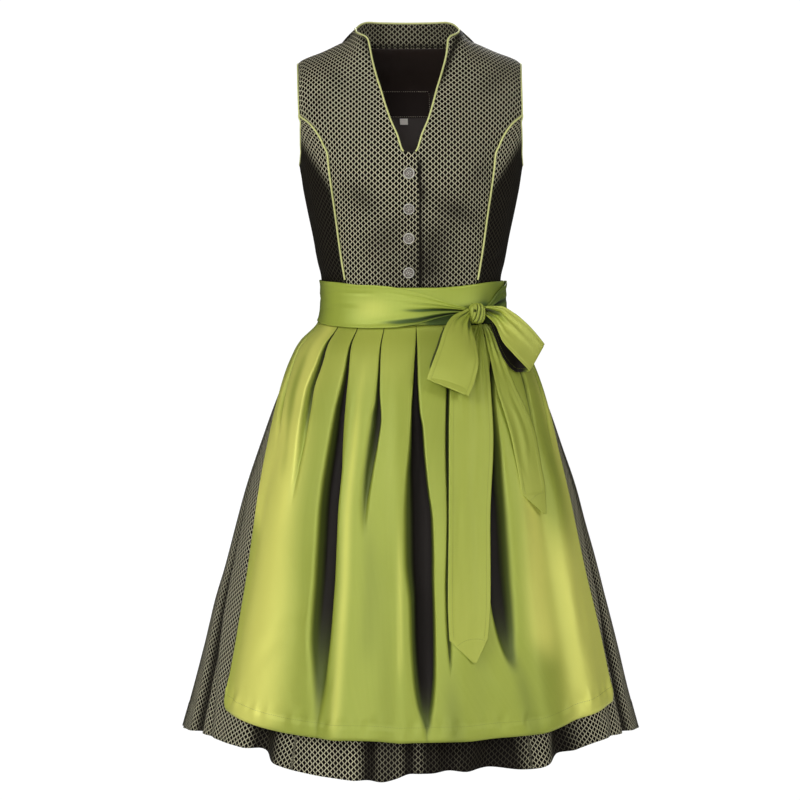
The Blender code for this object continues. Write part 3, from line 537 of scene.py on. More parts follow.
def cloth(name, node, stuff, columns, rows, place, relief=None, shade=None, grain=None):
    """A cloth panel: a flat grid laid on place(u, v), creased by relief, painted with shade and thickened
    inwards.
    """
    u, v = np.meshgrid(np.linspace(0, 1, columns + 1), np.linspace(0, 1, rows + 1))
    places = settled(place(u, v))
    across, up = lengths(places, 1), lengths(places)
    if relief is not None:
        places = places + skin_normals(places) * relief(u, v, across, up)[..., None]
        across, up = lengths(places, 1), lengths(places)
    middle = across[:, columns // 2][:, None]
    spot = grain(u, v, places) if grain else np.stack([across - middle, up], axis=-1)

    work = bmesh.new()
    bmesh.ops.create_grid(work, x_segments=columns, y_segments=rows, size=0.5)
    painted = work.verts.layers.float.new("shade")
    shades = np.clip(shade(u, v, places), -1, 1) if shade else np.zeros_like(u)
    spots = {}
    for vert in work.verts:
        column, row = round((vert.co.x + 0.5) * columns), round((vert.co.y + 0.5) * rows)
        vert.co = places[row, column]
        vert[painted] = shades[row, column]
        spots[vert] = spot[row, column]
    lay_pattern(work, spots)
    piece = finished(name, mesh_of(work, name), stuff.look, node)
    wall = piece.modifiers.new("thickness", "SOLIDIFY")
    wall.thickness, wall.offset = stuff.thickness, -1.0
    MEASURED[name] = sum(face.area for face in piece.data.polygons)
    LAID[name] = (places, skin_normals(places), across, up)
    print(f"{name}: {columns} x {rows}, {across[:, -1].max():.3f} m wide, {up[-1].max():.3f} m long")


def creases(across, up, *lines):
    """The relief of listed creases. A line has its ends in metres on the cloth, its half width,
    its depth (below zero for a ridge) and how far it bows."""
    total = np.zeros(np.shape(across))
    for start_x, start_y, end_x, end_y, width, depth, bow in lines:
        run_x, run_y = end_x - start_x, end_y - start_y
        length = math.hypot(run_x, run_y)
        along = ((across - start_x) * run_x + (up - start_y) * run_y) / length ** 2
        aside = ((up - start_y) * run_x - (across - start_x) * run_y) / length
        inside = np.clip(along, 0, 1)
        aside = aside - bow * np.sin(np.pi * inside)
        fade = np.sin(np.pi * inside) ** 0.8 * (inside == along)
        s = aside / width
        total += depth * fade * (0.45 * bell(s, 1.9) - bell(s))
    return total


def mirrored(place):
    """The same panel on the other side of the centre line."""
    return lambda u, v: place(1 - u, v) * MIRROR

# %% [markdown]
# ## The bodice fronts
# Each centre front runs from the waist seam up to the shoulder, and its neck edge grows on into a stand
# collar. The wearer's right front laps over the left one, and the buttons close it. A neck dart shapes the
# collar, and short drag lines run to the buttons where the cloth is pulled.

# %% Centre fronts
SEAM_GAP, SIDE_GAP = 0.0003, 0.00003  # the side seams close tighter, so no light comes through them
UNDERARM, LAP = -0.163, 0.0095
SHOULDER_TIP, COLLAR_SIDE, NECK_POINT, NECK_BACK = 0.1528, 0.0738, 0.0957, 0.003
TIP_LEVEL = float(RIDGE.at("level", SHOULDER_TIP))
COLLAR_SIDE_LEVEL = float(RIDGE.at("level", COLLAR_SIDE))
FRONT = Table(
    "row inner inner_level outer outer_level",
    (0, -LAP, -0.322, 0.085, -0.322), (1, -LAP, -0.298, 0.0895, -0.296),
    (2, -LAP, -0.272, 0.0935, -0.269), (3, -LAP, -0.246, 0.0968, -0.242),
    (4, -LAP, -0.22, 0.1002, -0.215), (5, -LAP, -0.194, 0.1036, -0.19),
    (6, -LAP, -0.171, 0.1065, -0.167), (7, -LAP, -0.15, 0.1085, -0.148),
    (8, 0.0078, -0.1475, 0.1125, -0.14), (9, 0.0165, -0.124, 0.117, -0.13),
    (10, 0.0245, -0.105, 0.124, -0.119), (11, 0.0312, -0.085, 0.1335, -0.108),
    (12, 0.0376, -0.064, 0.1475, -0.096), (13, 0.043, -0.048, 0.1485, -0.084),
    (14, 0.0475, -0.033, 0.1492, -0.072), (15, 0.051, -0.019, 0.15, -0.06),
    (16, 0.0532, -0.007, 0.1506, -0.05), (17, 0.055, 0.001, 0.1512, -0.0415),
    (18, 0.059, 0.0058, 0.1518, -0.035), (19, 0.0655, 0.0088, 0.1523, -0.03),
    (20, 0.0716, 0.0132, 0.1526, -0.0265), (21, COLLAR_SIDE, COLLAR_SIDE_LEVEL, SHOULDER_TIP, TIP_LEVEL),
)
FRONT_TOP, FRONT_WIDTH, SEAM_DIP = 21, 0.1, 0.0006
UNDERLAP = {"inset": 0.0022, "flat": 0.017, "level": 0.034}


def shoulder_row(inner, inner_level, outer, outer_level, part):
    """A point of a row that is straight low down and takes the shoulder's line higher up."""
    x = inner + (outer - inner) * part
    straight = inner_level + (outer_level - inner_level) * part
    chord = RIDGE.at("level", np.abs(inner)) * (1 - part) + RIDGE.at("level", np.abs(outer)) * part
    return x, straight + (RIDGE.at("level", np.abs(x)) - chord) * smooth(-0.15, -0.035, outer_level)


def front_panel(u, v):
    """The centre front of the wearer's right side, mirrored to +X: u from the centre out."""
    ends = [FRONT.at(name, v * FRONT_TOP) for name in ("inner", "inner_level", "outer", "outer_level")]
    x, level = shoulder_row(*ends, u)
    return torso(x, level) + np.array([0, -SEAM_GAP / 2, 0])


def underlap_panel(u, v):
    """The other centre front, set in where it runs under the lap."""
    places = front_panel(u, v)
    places[..., 1] += UNDERLAP["inset"] * (1 - smooth(UNDERLAP["flat"], UNDERLAP["level"], places[..., 0]))
    return places


def straight_grain(u, v, places):
    """Cloth coordinates with the grain upright: arc run out from the centre line and up from the waist."""
    x, level = places[..., 0], places[..., 2]
    shares = np.linspace(0, 1, 17)[:, None, None]
    run_out = torso(x * shares, level + 0 * shares)
    run_up = torso(x + 0 * shares, UNDERARM + (level - UNDERARM) * shares)
    across, up = np.sign(x) * lengths(run_out)[-1], np.sign(level - UNDERARM) * lengths(run_up)[-1]
    return np.stack([across, up], axis=-1)


BUTTON_LEVELS = (-0.1745, -0.2197, -0.2576, -0.3024)


def front_relief(lines):
    """Creases of a centre front, measured out from the centre line and down the dress."""
    def relief(u, v, across, up):
        places = front_panel(u, v)
        x, level = places[..., 0], places[..., 2]
        dart = creases(x, level, (0.066, 0.012, 0.034, -0.064, 0.003, 0.0016, 0.004))
        seam = -SEAM_DIP * smooth(0.006, 0.0, (1 - u) * FRONT_WIDTH) * smooth(-0.09, -0.1, level)
        edge = 0.0005 * bell(u * FRONT_WIDTH, 0.003, 0.002)
        return dart + seam + edge + creases(x, level, *lines)
    return relief


RIGHT_FRONT_CREASES = (
    (0, -0.18, 0.052, -0.156, 0.006, 0.0014, 0.003),
    (0.002, -0.224, 0.046, -0.208, 0.007, 0.0012, -0.002),
    (0.001, -0.261, 0.06, -0.276, 0.008, 0.0011, 0.003),
    (0.014, -0.308, 0.07, -0.29, 0.006, 0.0012, -0.003),
    (0.06, -0.125, 0.096, -0.145, 0.009, 0.0014, 0.004),
    (0.1, -0.07, 0.125, -0.105, 0.008, 0.0012, -0.004),
    (0.085, -0.018, 0.11, -0.052, 0.007, 0.001, 0.003),
)
LEFT_FRONT_CREASES = (
    (0.006, -0.172, 0.06, -0.15, 0.006, 0.0015, -0.003),
    (0.008, -0.212, 0.044, -0.226, 0.0065, 0.0012, 0.002),
    (0.01, -0.268, 0.056, -0.252, 0.008, 0.0011, -0.003),
    (0.02, -0.295, 0.066, -0.312, 0.006, 0.0012, 0.003),
    (0.062, -0.138, 0.094, -0.12, 0.009, 0.0013, -0.004),
    (0.096, -0.082, 0.128, -0.096, 0.008, 0.0012, 0.003),
    (0.09, -0.025, 0.118, -0.048, 0.007, 0.001, -0.003),
)


def flipped_relief(relief):
    return lambda u, v, across, up: relief(1 - u, v, across, up)


FRONT_SHADES = (  # painted shade of soft hollows in the worn cloth: x, level, width, height, lean, amount
    (-0.064, -0.206, 0.016, 0.02, -0.6, 0.4), (0.058, -0.222, 0.022, 0.016, -0.8, 0.42),
    (-0.045, -0.262, 0.022, 0.022, 0.5, 0.24), (0.03, -0.262, 0.024, 0.03, 0.4, 0.3),
    (-0.1, -0.048, 0.014, 0.02, -0.6, 0.22), (0.104, -0.056, 0.016, 0.022, 0.6, 0.24),
    (0.02, -0.3, 0.02, 0.018, 0, 0.25), (-0.02, -0.24, 0.018, 0.016, 0.3, 0.16),
    (-0.12, -0.082, 0.012, 0.018, 0.4, 0.18), (0.086, -0.175, 0.012, 0.022, 0.3, 0.2),
)


def front_shade(u, v, places):
    """Painted shade: a little everywhere, and more at the neck dart, the waist, the shoulders and soft hollows.
    """
    x, level = np.abs(places[..., 0]), places[..., 2]
    dart = 0.75 * bell(x + 0.4 * (0.012 - level), 0.064, 0.006) * smooth(-0.075, -0.045, level)
    waist = 0.3 * smooth(-0.21, -0.3, level) * smooth(0.075, 0.02, x)
    shoulder = 0.3 * smooth(-0.075, -0.03, level - RIDGE.at("level", x) - 0.03)
    soft = 0.0
    for place, height, wide, high, lean, amount in FRONT_SHADES:
        aside = (places[..., 0] - place) - lean * (level - height)
        soft = soft + amount * bell(aside, 0, wide) * bell(level, height, high)
    return 0.12 + dart + waist + shoulder * 0.6 + soft * (1 - dart)


# Painted shadow in the gape beside the buttons, added to the front's painted shade.
def underlap_shade(u, v, places):
    x, level = places[..., 0], places[..., 2]
    gape = 0.95 * smooth(0.0165, 0.0085, x) * smooth(-0.15, -0.165, level)
    deep = 0.75 * bell(x, 0.01, 0.009) * bell(level, -0.2, 0.016)
    return front_shade(u, v, places) + np.maximum(gape, deep) + 0.12


cloth("right_front", "front_right", JACQUARD, 48, 126, mirrored(front_panel),
      flipped_relief(front_relief(RIGHT_FRONT_CREASES)), front_shade, straight_grain)
cloth("left_front", "front_left", JACQUARD, 48, 126, underlap_panel, front_relief(LEFT_FRONT_CREASES),
      underlap_shade, straight_grain)

# %% Side fronts
PRINCESS_TOP, WAIST_SEAM = -0.096, -0.322
ARMHOLE = Table("part level", (0, PRINCESS_TOP), (0.3, -0.113), (0.48, -0.13), (0.62, -0.148),
                (0.8, -0.16), (1, UNDERARM))


def princess(level):
    """Distance of the princess seam from the centre line, plus the seam gap."""
    rows = np.linspace(0, 12, 97)
    return np.interp(level, FRONT.at("outer_level", rows), FRONT.at("outer", rows)) + SEAM_GAP


def side_panel(u, v):
    """The side front at +X: u from the princess seam to the side seam."""
    level = WAIST_SEAM + (ARMHOLE.at("level", u) - WAIST_SEAM) * v
    start = form_degrees(princess(level), level)
    degrees = start + (90 - start) * u
    x = FORM.at("half_width", level) * np.sin(np.radians(degrees)) ** (2 / FORM.at("square", level))
    return torso(x, level) + np.array([0, -SIDE_GAP / 2, 0])


def side_relief(u, v, across, up):
    pulls = creases(across, up, (0.004, 0.15, 0.05, 0.12, 0.006, 0.0012, 0.002),
                    (0.01, 0.03, 0.06, 0.052, 0.007, 0.0012, -0.003),
                    (0.012, 0.092, 0.056, 0.08, 0.008, 0.001, 0.003))
    return (pulls - SEAM_DIP * smooth(0.06, 0.0, u)) * smooth(1.0, 0.92, u)


def side_shade(u, v, places):
    """Painted shade: the side falls away from the light behind the princess seam; near the armhole it still
    catches some, in painted streaks of light and shade.
    """
    x, level = np.abs(places[..., 0]), places[..., 2]
    edge = -0.127 - (0.146 - x) / 0.036 * 0.055
    fallen = smooth(0.012, -0.014, level - edge)
    streaks = 0.5 * np.sin((level + x * 1.4) * 420 + 1) * smooth(-0.185, -0.15, level)
    return fallen * (0.97 - 0.14 * smooth(0.01, 0, x - princess(level))) + streaks * 0.5 * (1 - fallen) + 0.1


cloth("left_side_front", "side_front_left", JACQUARD, 26, 60, side_panel, side_relief, side_shade)
cloth("right_side_front", "side_front_right", JACQUARD, 26, 60, mirrored(side_panel), flipped_relief(side_relief),
      side_shade)

# %% [markdown]
# ## The back, its collar and the lining
# The back is one panel that hangs from the shoulder seams, with a stand collar sewn round its neck edge.
# A satin lining closes it inside, and carries a bare label and a bare size tag.

# %% Back and back collar
BACK = Table(
    "row centre reach outer",
    (0, -0.322, 1, -0.322), (1, -0.295, 1, -0.295), (2, -0.265, 1, -0.265),
    (3, -0.235, 1, -0.235), (4, -0.208, 1, -0.208), (5, -0.185, 1, -0.185),
    (6, -0.16, 1, UNDERARM), (7, -0.148, 0.982, -0.156), (8, -0.134, 0.953, -0.143),
    (9, -0.112, 0.92, -0.124), (10, -0.09, 0.895, -0.102), (11, -0.068, 0.88, -0.08),
    (12, -0.048, 0.876, -0.061), (13, -0.03, 0.874, -0.045), (14, -0.015, 0.873, -0.034),
    (15, -0.004, 0.8735, -0.0275),
    (16, NECK_BACK, SHOULDER_TIP / float(FORM.at("half_width", TIP_LEVEL)), TIP_LEVEL),
)
BACK_TOP = 16


def back_panel(u, v):
    """The whole back: u from the wearer's left side seam at +X to the right one at -X."""
    part = np.abs(2 * u - 1)
    centre, reach, outer = [BACK.at(name, v * BACK_TOP) for name in ("centre", "reach", "outer")]
    square, widest = FORM.at("square", outer), FORM.at("half_width", outer)
    edge = np.arcsin(np.minimum(reach, 1.0) ** (square / 2))
    x = widest * np.sin(edge * part) ** (2 / square)
    share = x / (widest * reach)
    neck_line = np.minimum(NECK_BACK, RIDGE.at("level", x))
    chord = NECK_BACK + (RIDGE.at("level", widest * reach) - NECK_BACK) * share
    level = centre + (outer - centre) * share + (neck_line - chord) * smooth(-0.15, -0.035, outer)
    places = torso(np.minimum(x, FORM.at("half_width", level)), level, back=True)
    places[..., 0] *= np.where(u < 0.5, 1, -1)
    return places + np.array([0, SIDE_GAP / 2, 0])


def back_relief(u, v, across, up):
    """Long vertical darts to the waist and drag lines from the shoulder blades to the armholes."""
    darts = creases(across, up, (0.135, 0.002, 0.128, 0.15, 0.003, 0.0018, 0.002),
                    (0.268, 0.002, 0.276, 0.146, 0.003, 0.0018, -0.002))
    pulls = creases(across, up, (0.06, 0.19, 0.12, 0.225, 0.008, 0.0015, 0.004),
                    (0.345, 0.2, 0.29, 0.228, 0.008, 0.0014, -0.004),
                    (0.08, 0.04, 0.12, 0.018, 0.007, 0.0014, -0.003),
                    (0.33, 0.05, 0.285, 0.02, 0.007, 0.0013, 0.003),
                    (0.17, 0.06, 0.245, 0.048, 0.009, 0.0012, 0.003),
                    (0.15, 0.275, 0.19, 0.3, 0.008, 0.0012, 0.002))
    return (darts + pulls) * smooth(1.0, 0.95, np.abs(2 * u - 1))


def back_shade(u, v, places):
    """Painted shade: the back darkens towards its side seams, to meet the painted shade of the side fronts."""
    return 1.05 * smooth(0.66, 1, np.abs(2 * u - 1)) ** 1.3 * smooth(-0.1, -0.16, places[..., 2])


cloth("back_bodice", "bodice_back", JACQUARD, 120, 104, back_panel, back_relief, back_shade)

COLLAR_TOP = {"back": 0.052, "level": 0.0322}
COLLAR_FOOT = {"share": 0.985, "sink": 0.0012}


def back_collar_panel(u, v):
    """The stand collar behind the neck: u from +X round the back to -X, v up from the neck edge."""
    turn = np.pi * (0.5 + u)
    behind = -np.cos(turn)
    x = NECK_POINT * np.sin(turn)
    base = torso(x, np.minimum(NECK_BACK, RIDGE.at("level", np.abs(x))), back=True)
    base = base * np.array([COLLAR_FOOT["share"], COLLAR_FOOT["share"], 1]) - stacked(0, 0, COLLAR_FOOT["sink"])
    level = COLLAR_SIDE_LEVEL + (COLLAR_TOP["level"] - COLLAR_SIDE_LEVEL) * smooth(0.0, 0.75, behind)
    top = stacked(COLLAR_SIDE * np.sin(turn), COLLAR_TOP["back"] * behind, level)
    return base + (top - base) * v[..., None] + np.array([0, SEAM_GAP / 2, 0])


def collar_relief(u, v, across, up):
    return creases(across, up, (0.09, 0.004, 0.1, 0.03, 0.005, 0.0007, 0.001),
                   (0.17, 0.006, 0.16, 0.034, 0.006, 0.0006, -0.001)) + 0.0008 * np.sin(np.pi * v)


def collar_shade(u, v, places):
    """Painted shade: the inside of the stand collar is in shade, darkest at its foot and in its corners."""
    return 0.45 + 0.4 * smooth(0.28, 0, v) + 0.3 * smooth(0.36, 0.5, np.abs(u - 0.5))


cloth("collar_behind", "back_collar", JACQUARD, 96, 12, back_collar_panel, collar_relief, collar_shade)

# %% Back lining and its bare labels
LINING_INSIDE, LINING_SIDE, LINING_TOP = 0.0031, 0.012, 0.986


def inside_of(place, distance):
    """The same panel, moved inwards along its own normals."""
    def moved(u, v):
        places = place(u, v)
        return places - skin_normals(places) * distance
    return moved


def lining_panel(u, v):
    """The lining lies inside the back, just short of its side seams and its neck seam."""
    return back_panel(LINING_SIDE + (1 - 2 * LINING_SIDE) * u, v * LINING_TOP)


def lining_relief(u, v, across, up):
    folds = creases(across, up, (0.18, 0.2, 0.196, 0.33, 0.006, 0.0014, 0.003),
                    (0.262, 0.18, 0.246, 0.33, 0.007, 0.0015, -0.004),
                    (0.14, 0.24, 0.165, 0.32, 0.006, 0.0012, -0.002),
                    (0.205, 0.09, 0.215, 0.23, 0.007, 0.0012, 0.003))
    return folds - LINING.thickness


cloth("lining_behind", "back_lining", LINING, 100, 96, inside_of(lining_panel, LINING_INSIDE), lining_relief)

LABEL = {"left": -0.0385, "right": 0.03, "top": -0.055, "bottom": -0.0915, "inside": 0.006}
SIZE_TAG = {"left": -0.0108, "right": -0.0003, "top": -0.0928, "bottom": -0.1012, "inside": 0.006}


def label_panel(patch, curl):
    """A patch on the inside of the lining: u from +X to -X, v up. Its lower edge curls into the hollow."""
    def place(u, v):
        x = patch["right"] + (patch["left"] - patch["right"]) * u
        level = patch["bottom"] + (patch["top"] - patch["bottom"]) * v
        away = patch["inside"] + curl * (1 - v) ** 2 * (0.4 + 0.6 * np.abs(2 * u - 1))
        return torso(x, level, back=True) - stacked(0, away, 0)
    return place


cloth("label_patch", "brand_label", LABEL_WEAVE, 36, 22, label_panel(LABEL, 0.0012))
cloth("size_tag_patch", "size_tag", TAG_WEAVE, 10, 8, label_panel(SIZE_TAG, 0.0008))

# %% [markdown]
# ## Piping
# Piping is a strip of satin cut on the bias and folded over a thin cord, then caught in the seam so that
# only the round edge shows. A curve with a round bevel is the same thing: a cord along a line. The line is
# taken from the panels' own edges, so it follows every bend of the seam.

# %% Piping
PIPING_RADIUS, PRINCESS_LIFT, PIPING_FOOT = 0.0013, 0.0009, -0.3125


def piping(name, node, points, closed=False):
    points = settled(points)
    line = bpy.data.curves.new(name, "CURVE")
    line.dimensions = "3D"
    line.bevel_depth = PIPING_RADIUS
    line.bevel_resolution = 3
    line.use_fill_caps = not closed
    run = line.splines.new("POLY")
    run.points.add(len(points) - 1)
    run.points.foreach_set("co", np.hstack([points, np.ones((len(points), 1))]).ravel())
    run.use_cyclic_u = closed
    finished(name, line, piping_satin, node)
    print(f"{name}: {lengths(points)[-1]:.3f} m of piping")


def edge_line(place, u, v, inwards):
    """A line just off the edge of a panel, in the middle of its wall. inwards is (u, v) into the panel."""
    u, v = np.broadcast_arrays(np.asarray(u, float), np.asarray(v, float))
    step = 0.004
    here = place(u, v)
    away = here - place(u + inwards[0] * step, v + inwards[1] * step)
    along = unit(np.gradient(here, axis=0))
    away = unit(away - along * (away * along).sum(axis=1, keepdims=True))
    right = place(np.minimum(u + step, 1), v) - place(np.maximum(u - step, 0), v)
    top = place(u, np.minimum(v + step, 1)) - place(u, np.maximum(v - step, 0))
    return here - unit(np.cross(right, top)) * JACQUARD.thickness / 2 + away * PIPING_RADIUS


neck_rows = np.linspace(8.05, 20.9, 70) / FRONT_TOP
neck_right = edge_line(front_panel, 0.0, neck_rows, (1, 0)) * MIRROR
neck_left = edge_line(underlap_panel, 0.0, neck_rows, (1, 0))
neck_behind = edge_line(back_collar_panel, np.linspace(1, 0, 70), 1.0, (0, -1))
piping("neck_piping", "piping_neck", np.vstack([neck_right, neck_behind, neck_left[::-1]]))

princess_levels = np.linspace(PIPING_FOOT, PRINCESS_TOP - 0.001, 70)
princess_x = princess(princess_levels)
princess_out = outward(form_degrees(princess_x, princess_levels), princess_levels)
princess_line = torso(princess_x, princess_levels) + princess_out * PRINCESS_LIFT
piping("left_princess_piping", "piping_princess_left", princess_line)
piping("right_princess_piping", "piping_princess_right", princess_line * MIRROR)

armhole_front = edge_line(front_panel, 1.0, np.linspace(12.05, 20.95, 50) / FRONT_TOP, (-1, 0))
armhole_back = edge_line(back_panel, 0.0, np.linspace(15.9, 6.2, 50) / BACK_TOP, (1, 0))
armhole_under = edge_line(side_panel, np.linspace(0.98, 0.03, 30), 1.0, (0, -1))
armhole_line = np.vstack([armhole_front, armhole_back, armhole_under])
piping("left_armhole_piping", "piping_armhole_left", armhole_line, closed=True)
piping("right_armhole_piping", "piping_armhole_right", armhole_line * MIRROR, closed=True)

# %% [markdown]
# ## Buttons
# The buttons are cast in nickel: a raised rim, a ring of beads and a small flower. A turned profile gives
# the round form, and the ornament is pressed into it by moving the points up and down with the angle.

# %% Buttons
BUTTON = {"radius": 0.00725, "height": 0.0036, "x": -0.0035, "gap": 0.0011, "tilt_span": 0.004}


def button_height(share, turn):
    """Height of the button's face at a share of its radius and an angle, from 0 to 1."""
    rim = bell(share, 0.9, 0.055)
    beads = 0.55 * bell(share, 0.72, 0.06) * (0.5 + 0.5 * math.cos(20 * turn))
    petals = 0.62 * bell(share, 0.38, 0.17) * (0.5 + 0.5 * math.cos(8 * turn))
    heart = 0.75 * bell(share, 0, 0.13)
    return max(rim, beads, petals, heart)


def make_button(number, level):
    work = bmesh.new()
    radius, height = BUTTON["radius"], BUTTON["height"]
    face = [share / 22 for share in range(22)]
    profile = [(0, 0), (radius * 0.86, 0), (radius * 0.98, height * 0.3), (radius, height * 0.6)]
    profile += [(radius * share, height) for share in reversed(face)]
    verts = [work.verts.new((distance, 0, up)) for distance, up in profile]
    edges = [work.edges.new(pair) for pair in zip(verts, verts[1:])]
    bmesh.ops.spin(work, geom=verts + edges, cent=(0, 0, 0), axis=(0, 0, 1), angle=TURN, steps=80, use_merge=True)
    bmesh.ops.remove_doubles(work, verts=work.verts, dist=1e-6)
    face_outwards(work)
    proud = work.verts.layers.float.new("proud")
    for vert in work.verts:
        share, turn = vert.co.xy.length / radius, math.atan2(vert.co.y, vert.co.x)
        if vert.co.z > height * 0.9:
            raised = button_height(share, turn)
            vert.co.z = height * (0.56 + 0.1 * (1 - share ** 2) + 0.34 * raised)
            vert[proud] = raised
        else:
            vert[proud] = 0.6
    for face in work.faces:
        face.smooth = True
    place = Vector(torso(BUTTON["x"], level))
    above, below = [Vector(torso(BUTTON["x"], level + BUTTON["tilt_span"] * side)) for side in (1, -1)]
    down = below - above
    facing = Vector((0, -down.z, down.y)).normalized()
    facing = -facing if facing.y > 0 else facing
    turned = facing.to_track_quat("Z", "Y").to_matrix().to_4x4() @ Matrix.Rotation(0.7 * number, 4, "Z")
    standing = Matrix.Translation(place + facing * BUTTON["gap"]) @ turned
    bmesh.ops.transform(work, matrix=standing, verts=work.verts)
    name = f"silver_button_{number}"
    finished(name, mesh_of(work, name), button_silver, f"button_{number}")


for number, level in enumerate(BUTTON_LEVELS, 1):
    make_button(number, level)
print("buttons:", len(BUTTON_LEVELS), "of", round(BUTTON["radius"] * 2000, 1), "mm")

# %% [markdown]
# ## The skirt
# The skirt flares from the waist in gores and falls into folds that deepen towards the hem. A fold is a
# valley between two crests, and no two are alike: each has its own line, width and depth. Under the apron
# the skirt keeps a little further in, because the apron's pleats need the room.

# %% Skirt folds
FOLDS = (  # top and low angle, half width in degrees, depth, start level, lean of the valley
    (-171, -173, 6, 0.013, -0.38, 0.3), (-153, -155, 7, 0.015, -0.38, -0.2),
    (-134, -135, 6, 0.012, -0.39, 0.3), (-117, -115, 6.5, 0.014, -0.39, -0.3),
    (-100, -96, 5.5, 0.01, -0.42, 0.2), (-82, -68, 5.5, 0.01, -0.45, -0.2),
    (-60, -39, 5, 0.015, -0.58, 0.4), (-12, -10, 4, 0.009, -0.8, 0.2),
    (-2, -1, 2.6, 0.005, -0.83, 0), (9, 8.5, 4.5, 0.011, -0.8, -0.2),
    (28, 20, 7.5, 0.017, -0.78, 0.3), (60, 39.5, 5, 0.015, -0.58, -0.3),
    (84, 69, 5.5, 0.01, -0.45, 0.2), (101, 97, 5.5, 0.01, -0.42, -0.2),
    (119, 116, 6.5, 0.014, -0.39, 0.3), (137, 137, 6, 0.012, -0.39, -0.3),
    (155, 154, 7, 0.015, -0.38, 0.2),
    (-162, -164, 3, 0.004, -0.52, 0), (-143, -145, 3.4, -0.0035, -0.55, 0),
    (-108, -106, 3, 0.004, -0.6, 0), (-90, -86, 3, 0.0035, -0.62, 0),
    (91, 88, 3.2, 0.004, -0.6, 0), (110, 107, 3, -0.0035, -0.55, 0),
    (128, 126, 3.2, 0.0045, -0.58, 0), (146, 145, 3, 0.004, -0.5, 0),
    (170, 170, 3.4, 0.005, -0.48, 0), (-76, -58, 2.6, 0.003, -0.66, 0),
    (76, 58, 2.8, 0.003, -0.66, 0),
)
SKIRT_HEM = Table(
    "degrees level",
    (-180, -0.921), (-150, -0.927), (-120, -0.92), (-90, -0.927), (-76, -0.916), (-58, -0.905), (-42, -0.906),
    (-36, -0.92), (-18, -0.928), (-8, -0.93), (1, -0.919), (19, -0.918), (32, -0.923), (41, -0.913),
    (55, -0.904), (76, -0.916), (90, -0.927), (120, -0.921), (150, -0.926), (180, -0.921),
)
APRON_SIDES = Table(
    "level left right",
    (-0.371, -104, 104), (-0.41, -92, 93), (-0.44, -80, 82), (-0.471, -72.5, 75),
    (-0.51, -67.5, 70), (-0.545, -64.3, 66.6), (-0.592, -60.8, 64.4), (-0.661, -57.8, 63.2),
    (-0.79, -54.3, 62.2), (-0.9, -53.5, 61.2),
)
APRON_HEM = -0.877
HEM_RISE = Table("degrees rise", (0, 0), (30, 0.0008), (38, 0.004), (46, 0.0092), (54, 0.014), (63, 0.018))
SETBACK = {"depth": 0.025, "hem": 0.009, "margin": 7.0}
GORES = np.arange(-120.0, 241.0, 60.0)
SKIRT_TOP, SKIRT_LOW, SKIRT_SEAM = -0.3223, -0.93, 0.008  # two levels, and the seam's gap in degrees


def front_turn(degrees):
    """The same angle, counted from -180 to 180."""
    return (degrees + 180) % 360 - 180


def valley(offset, spread, lean=0.0):
    """1 in the middle of a fold, 0 at its edges; lean makes one side steeper than the other."""
    offset = offset + lean * spread * (1 - np.minimum(np.abs(offset) / spread, 1.0) ** 2) * 0.5
    return smooth(1.0, 0.0, np.abs(offset) / spread)


def fold_depth(degrees, level):
    total = np.zeros(np.shape(degrees))
    for top, low, spread, depth, start, lean in FOLDS:
        down = smooth(start, SKIRT_LOW, level)
        away = front_turn(degrees - (top + (low - top) * down))
        total += depth * down ** 0.6 * valley(away, spread, lean)
    return total


def setback(degrees, level):
    """How far the skirt keeps behind the apron, so that the pleats have room."""
    left = APRON_SIDES.at("left", level) + SETBACK["margin"]
    right = APRON_SIDES.at("right", level) - SETBACK["margin"]
    turned = front_turn(degrees)
    under = smooth(0, 10, turned - left) * smooth(0, 10, right - turned)
    deep = SETBACK["depth"] + (SETBACK["hem"] - SETBACK["depth"]) * smooth(-0.8, -0.875, level)
    return under * deep * smooth(-0.374, -0.405, level)


def skirt_panel(start, end):
    """A skirt panel between two angles: u across, v from the hem up to the waist."""
    def place(u, v):
        degrees = start + SKIRT_SEAM + (end - start - 2 * SKIRT_SEAM) * u
        hem = SKIRT_HEM.at("level", front_turn(degrees))
        level = hem + (SKIRT_TOP - hem) * v ** 0.95
        return off_form(degrees, level, -fold_depth(degrees, level) - setback(degrees, level))
    return place


def gore_grain(start, end):
    """Cloth coordinates that start afresh in each gore, whose grain runs down its middle."""
    def grain(u, v, places):
        degrees = start + (end - start) * u[0]
        centres = GORES[np.abs(degrees[:, None] - GORES).argmin(axis=1)]
        across, up = lengths(places, 1), lengths(places)
        middle = np.array([np.interp(centres, degrees, row) for row in across])
        return np.stack([across - middle, up[-1] - up], axis=-1) * np.array([1, -1])
    return grain


def skirt_relief(seed):
    """Faint unevenness of hanging cloth, and a turned-up hem."""
    def relief(u, v, across, up):
        sway = 0.0009 * np.sin(across * 31 + seed + 2.1 * np.sin(up * 9 + seed)) * np.sin(up * 17 + seed * 2)
        hem = 0.0005 * smooth(0.034, 0.031, up) + 0.0006 * np.sin(across * 160 + seed) * bell(up, 0, 0.02)
        return sway * (1 - v) ** 0.5 + hem
    return relief


SKIRT_SHADES = (  # painted shade that reaches the hem between the folds: angle at the hem, half width, amount, start
    (-37.5, 3.4, 0.97, -0.83), (-10.6, 2, 0.97, -0.84), (-5.5, 4.4, 0.8, -0.84), (-0.7, 1.4, 0.92, -0.84),
    (3.5, 2.8, 0.88, -0.84), (8.5, 3.2, 1.05, -0.83), (13.6, 2.8, 0.78, -0.84), (18.5, 4.4, 1.02, -0.83),
    (25, 4.8, 0.98, -0.83), (41.5, 5.4, 1.05, -0.81), (-86, 5, 0.85, -0.42), (86, 6, 0.85, -0.42),
    (-29, 3, 0.2, -0.86), (-18, 2.5, 0.25, -0.86),
)


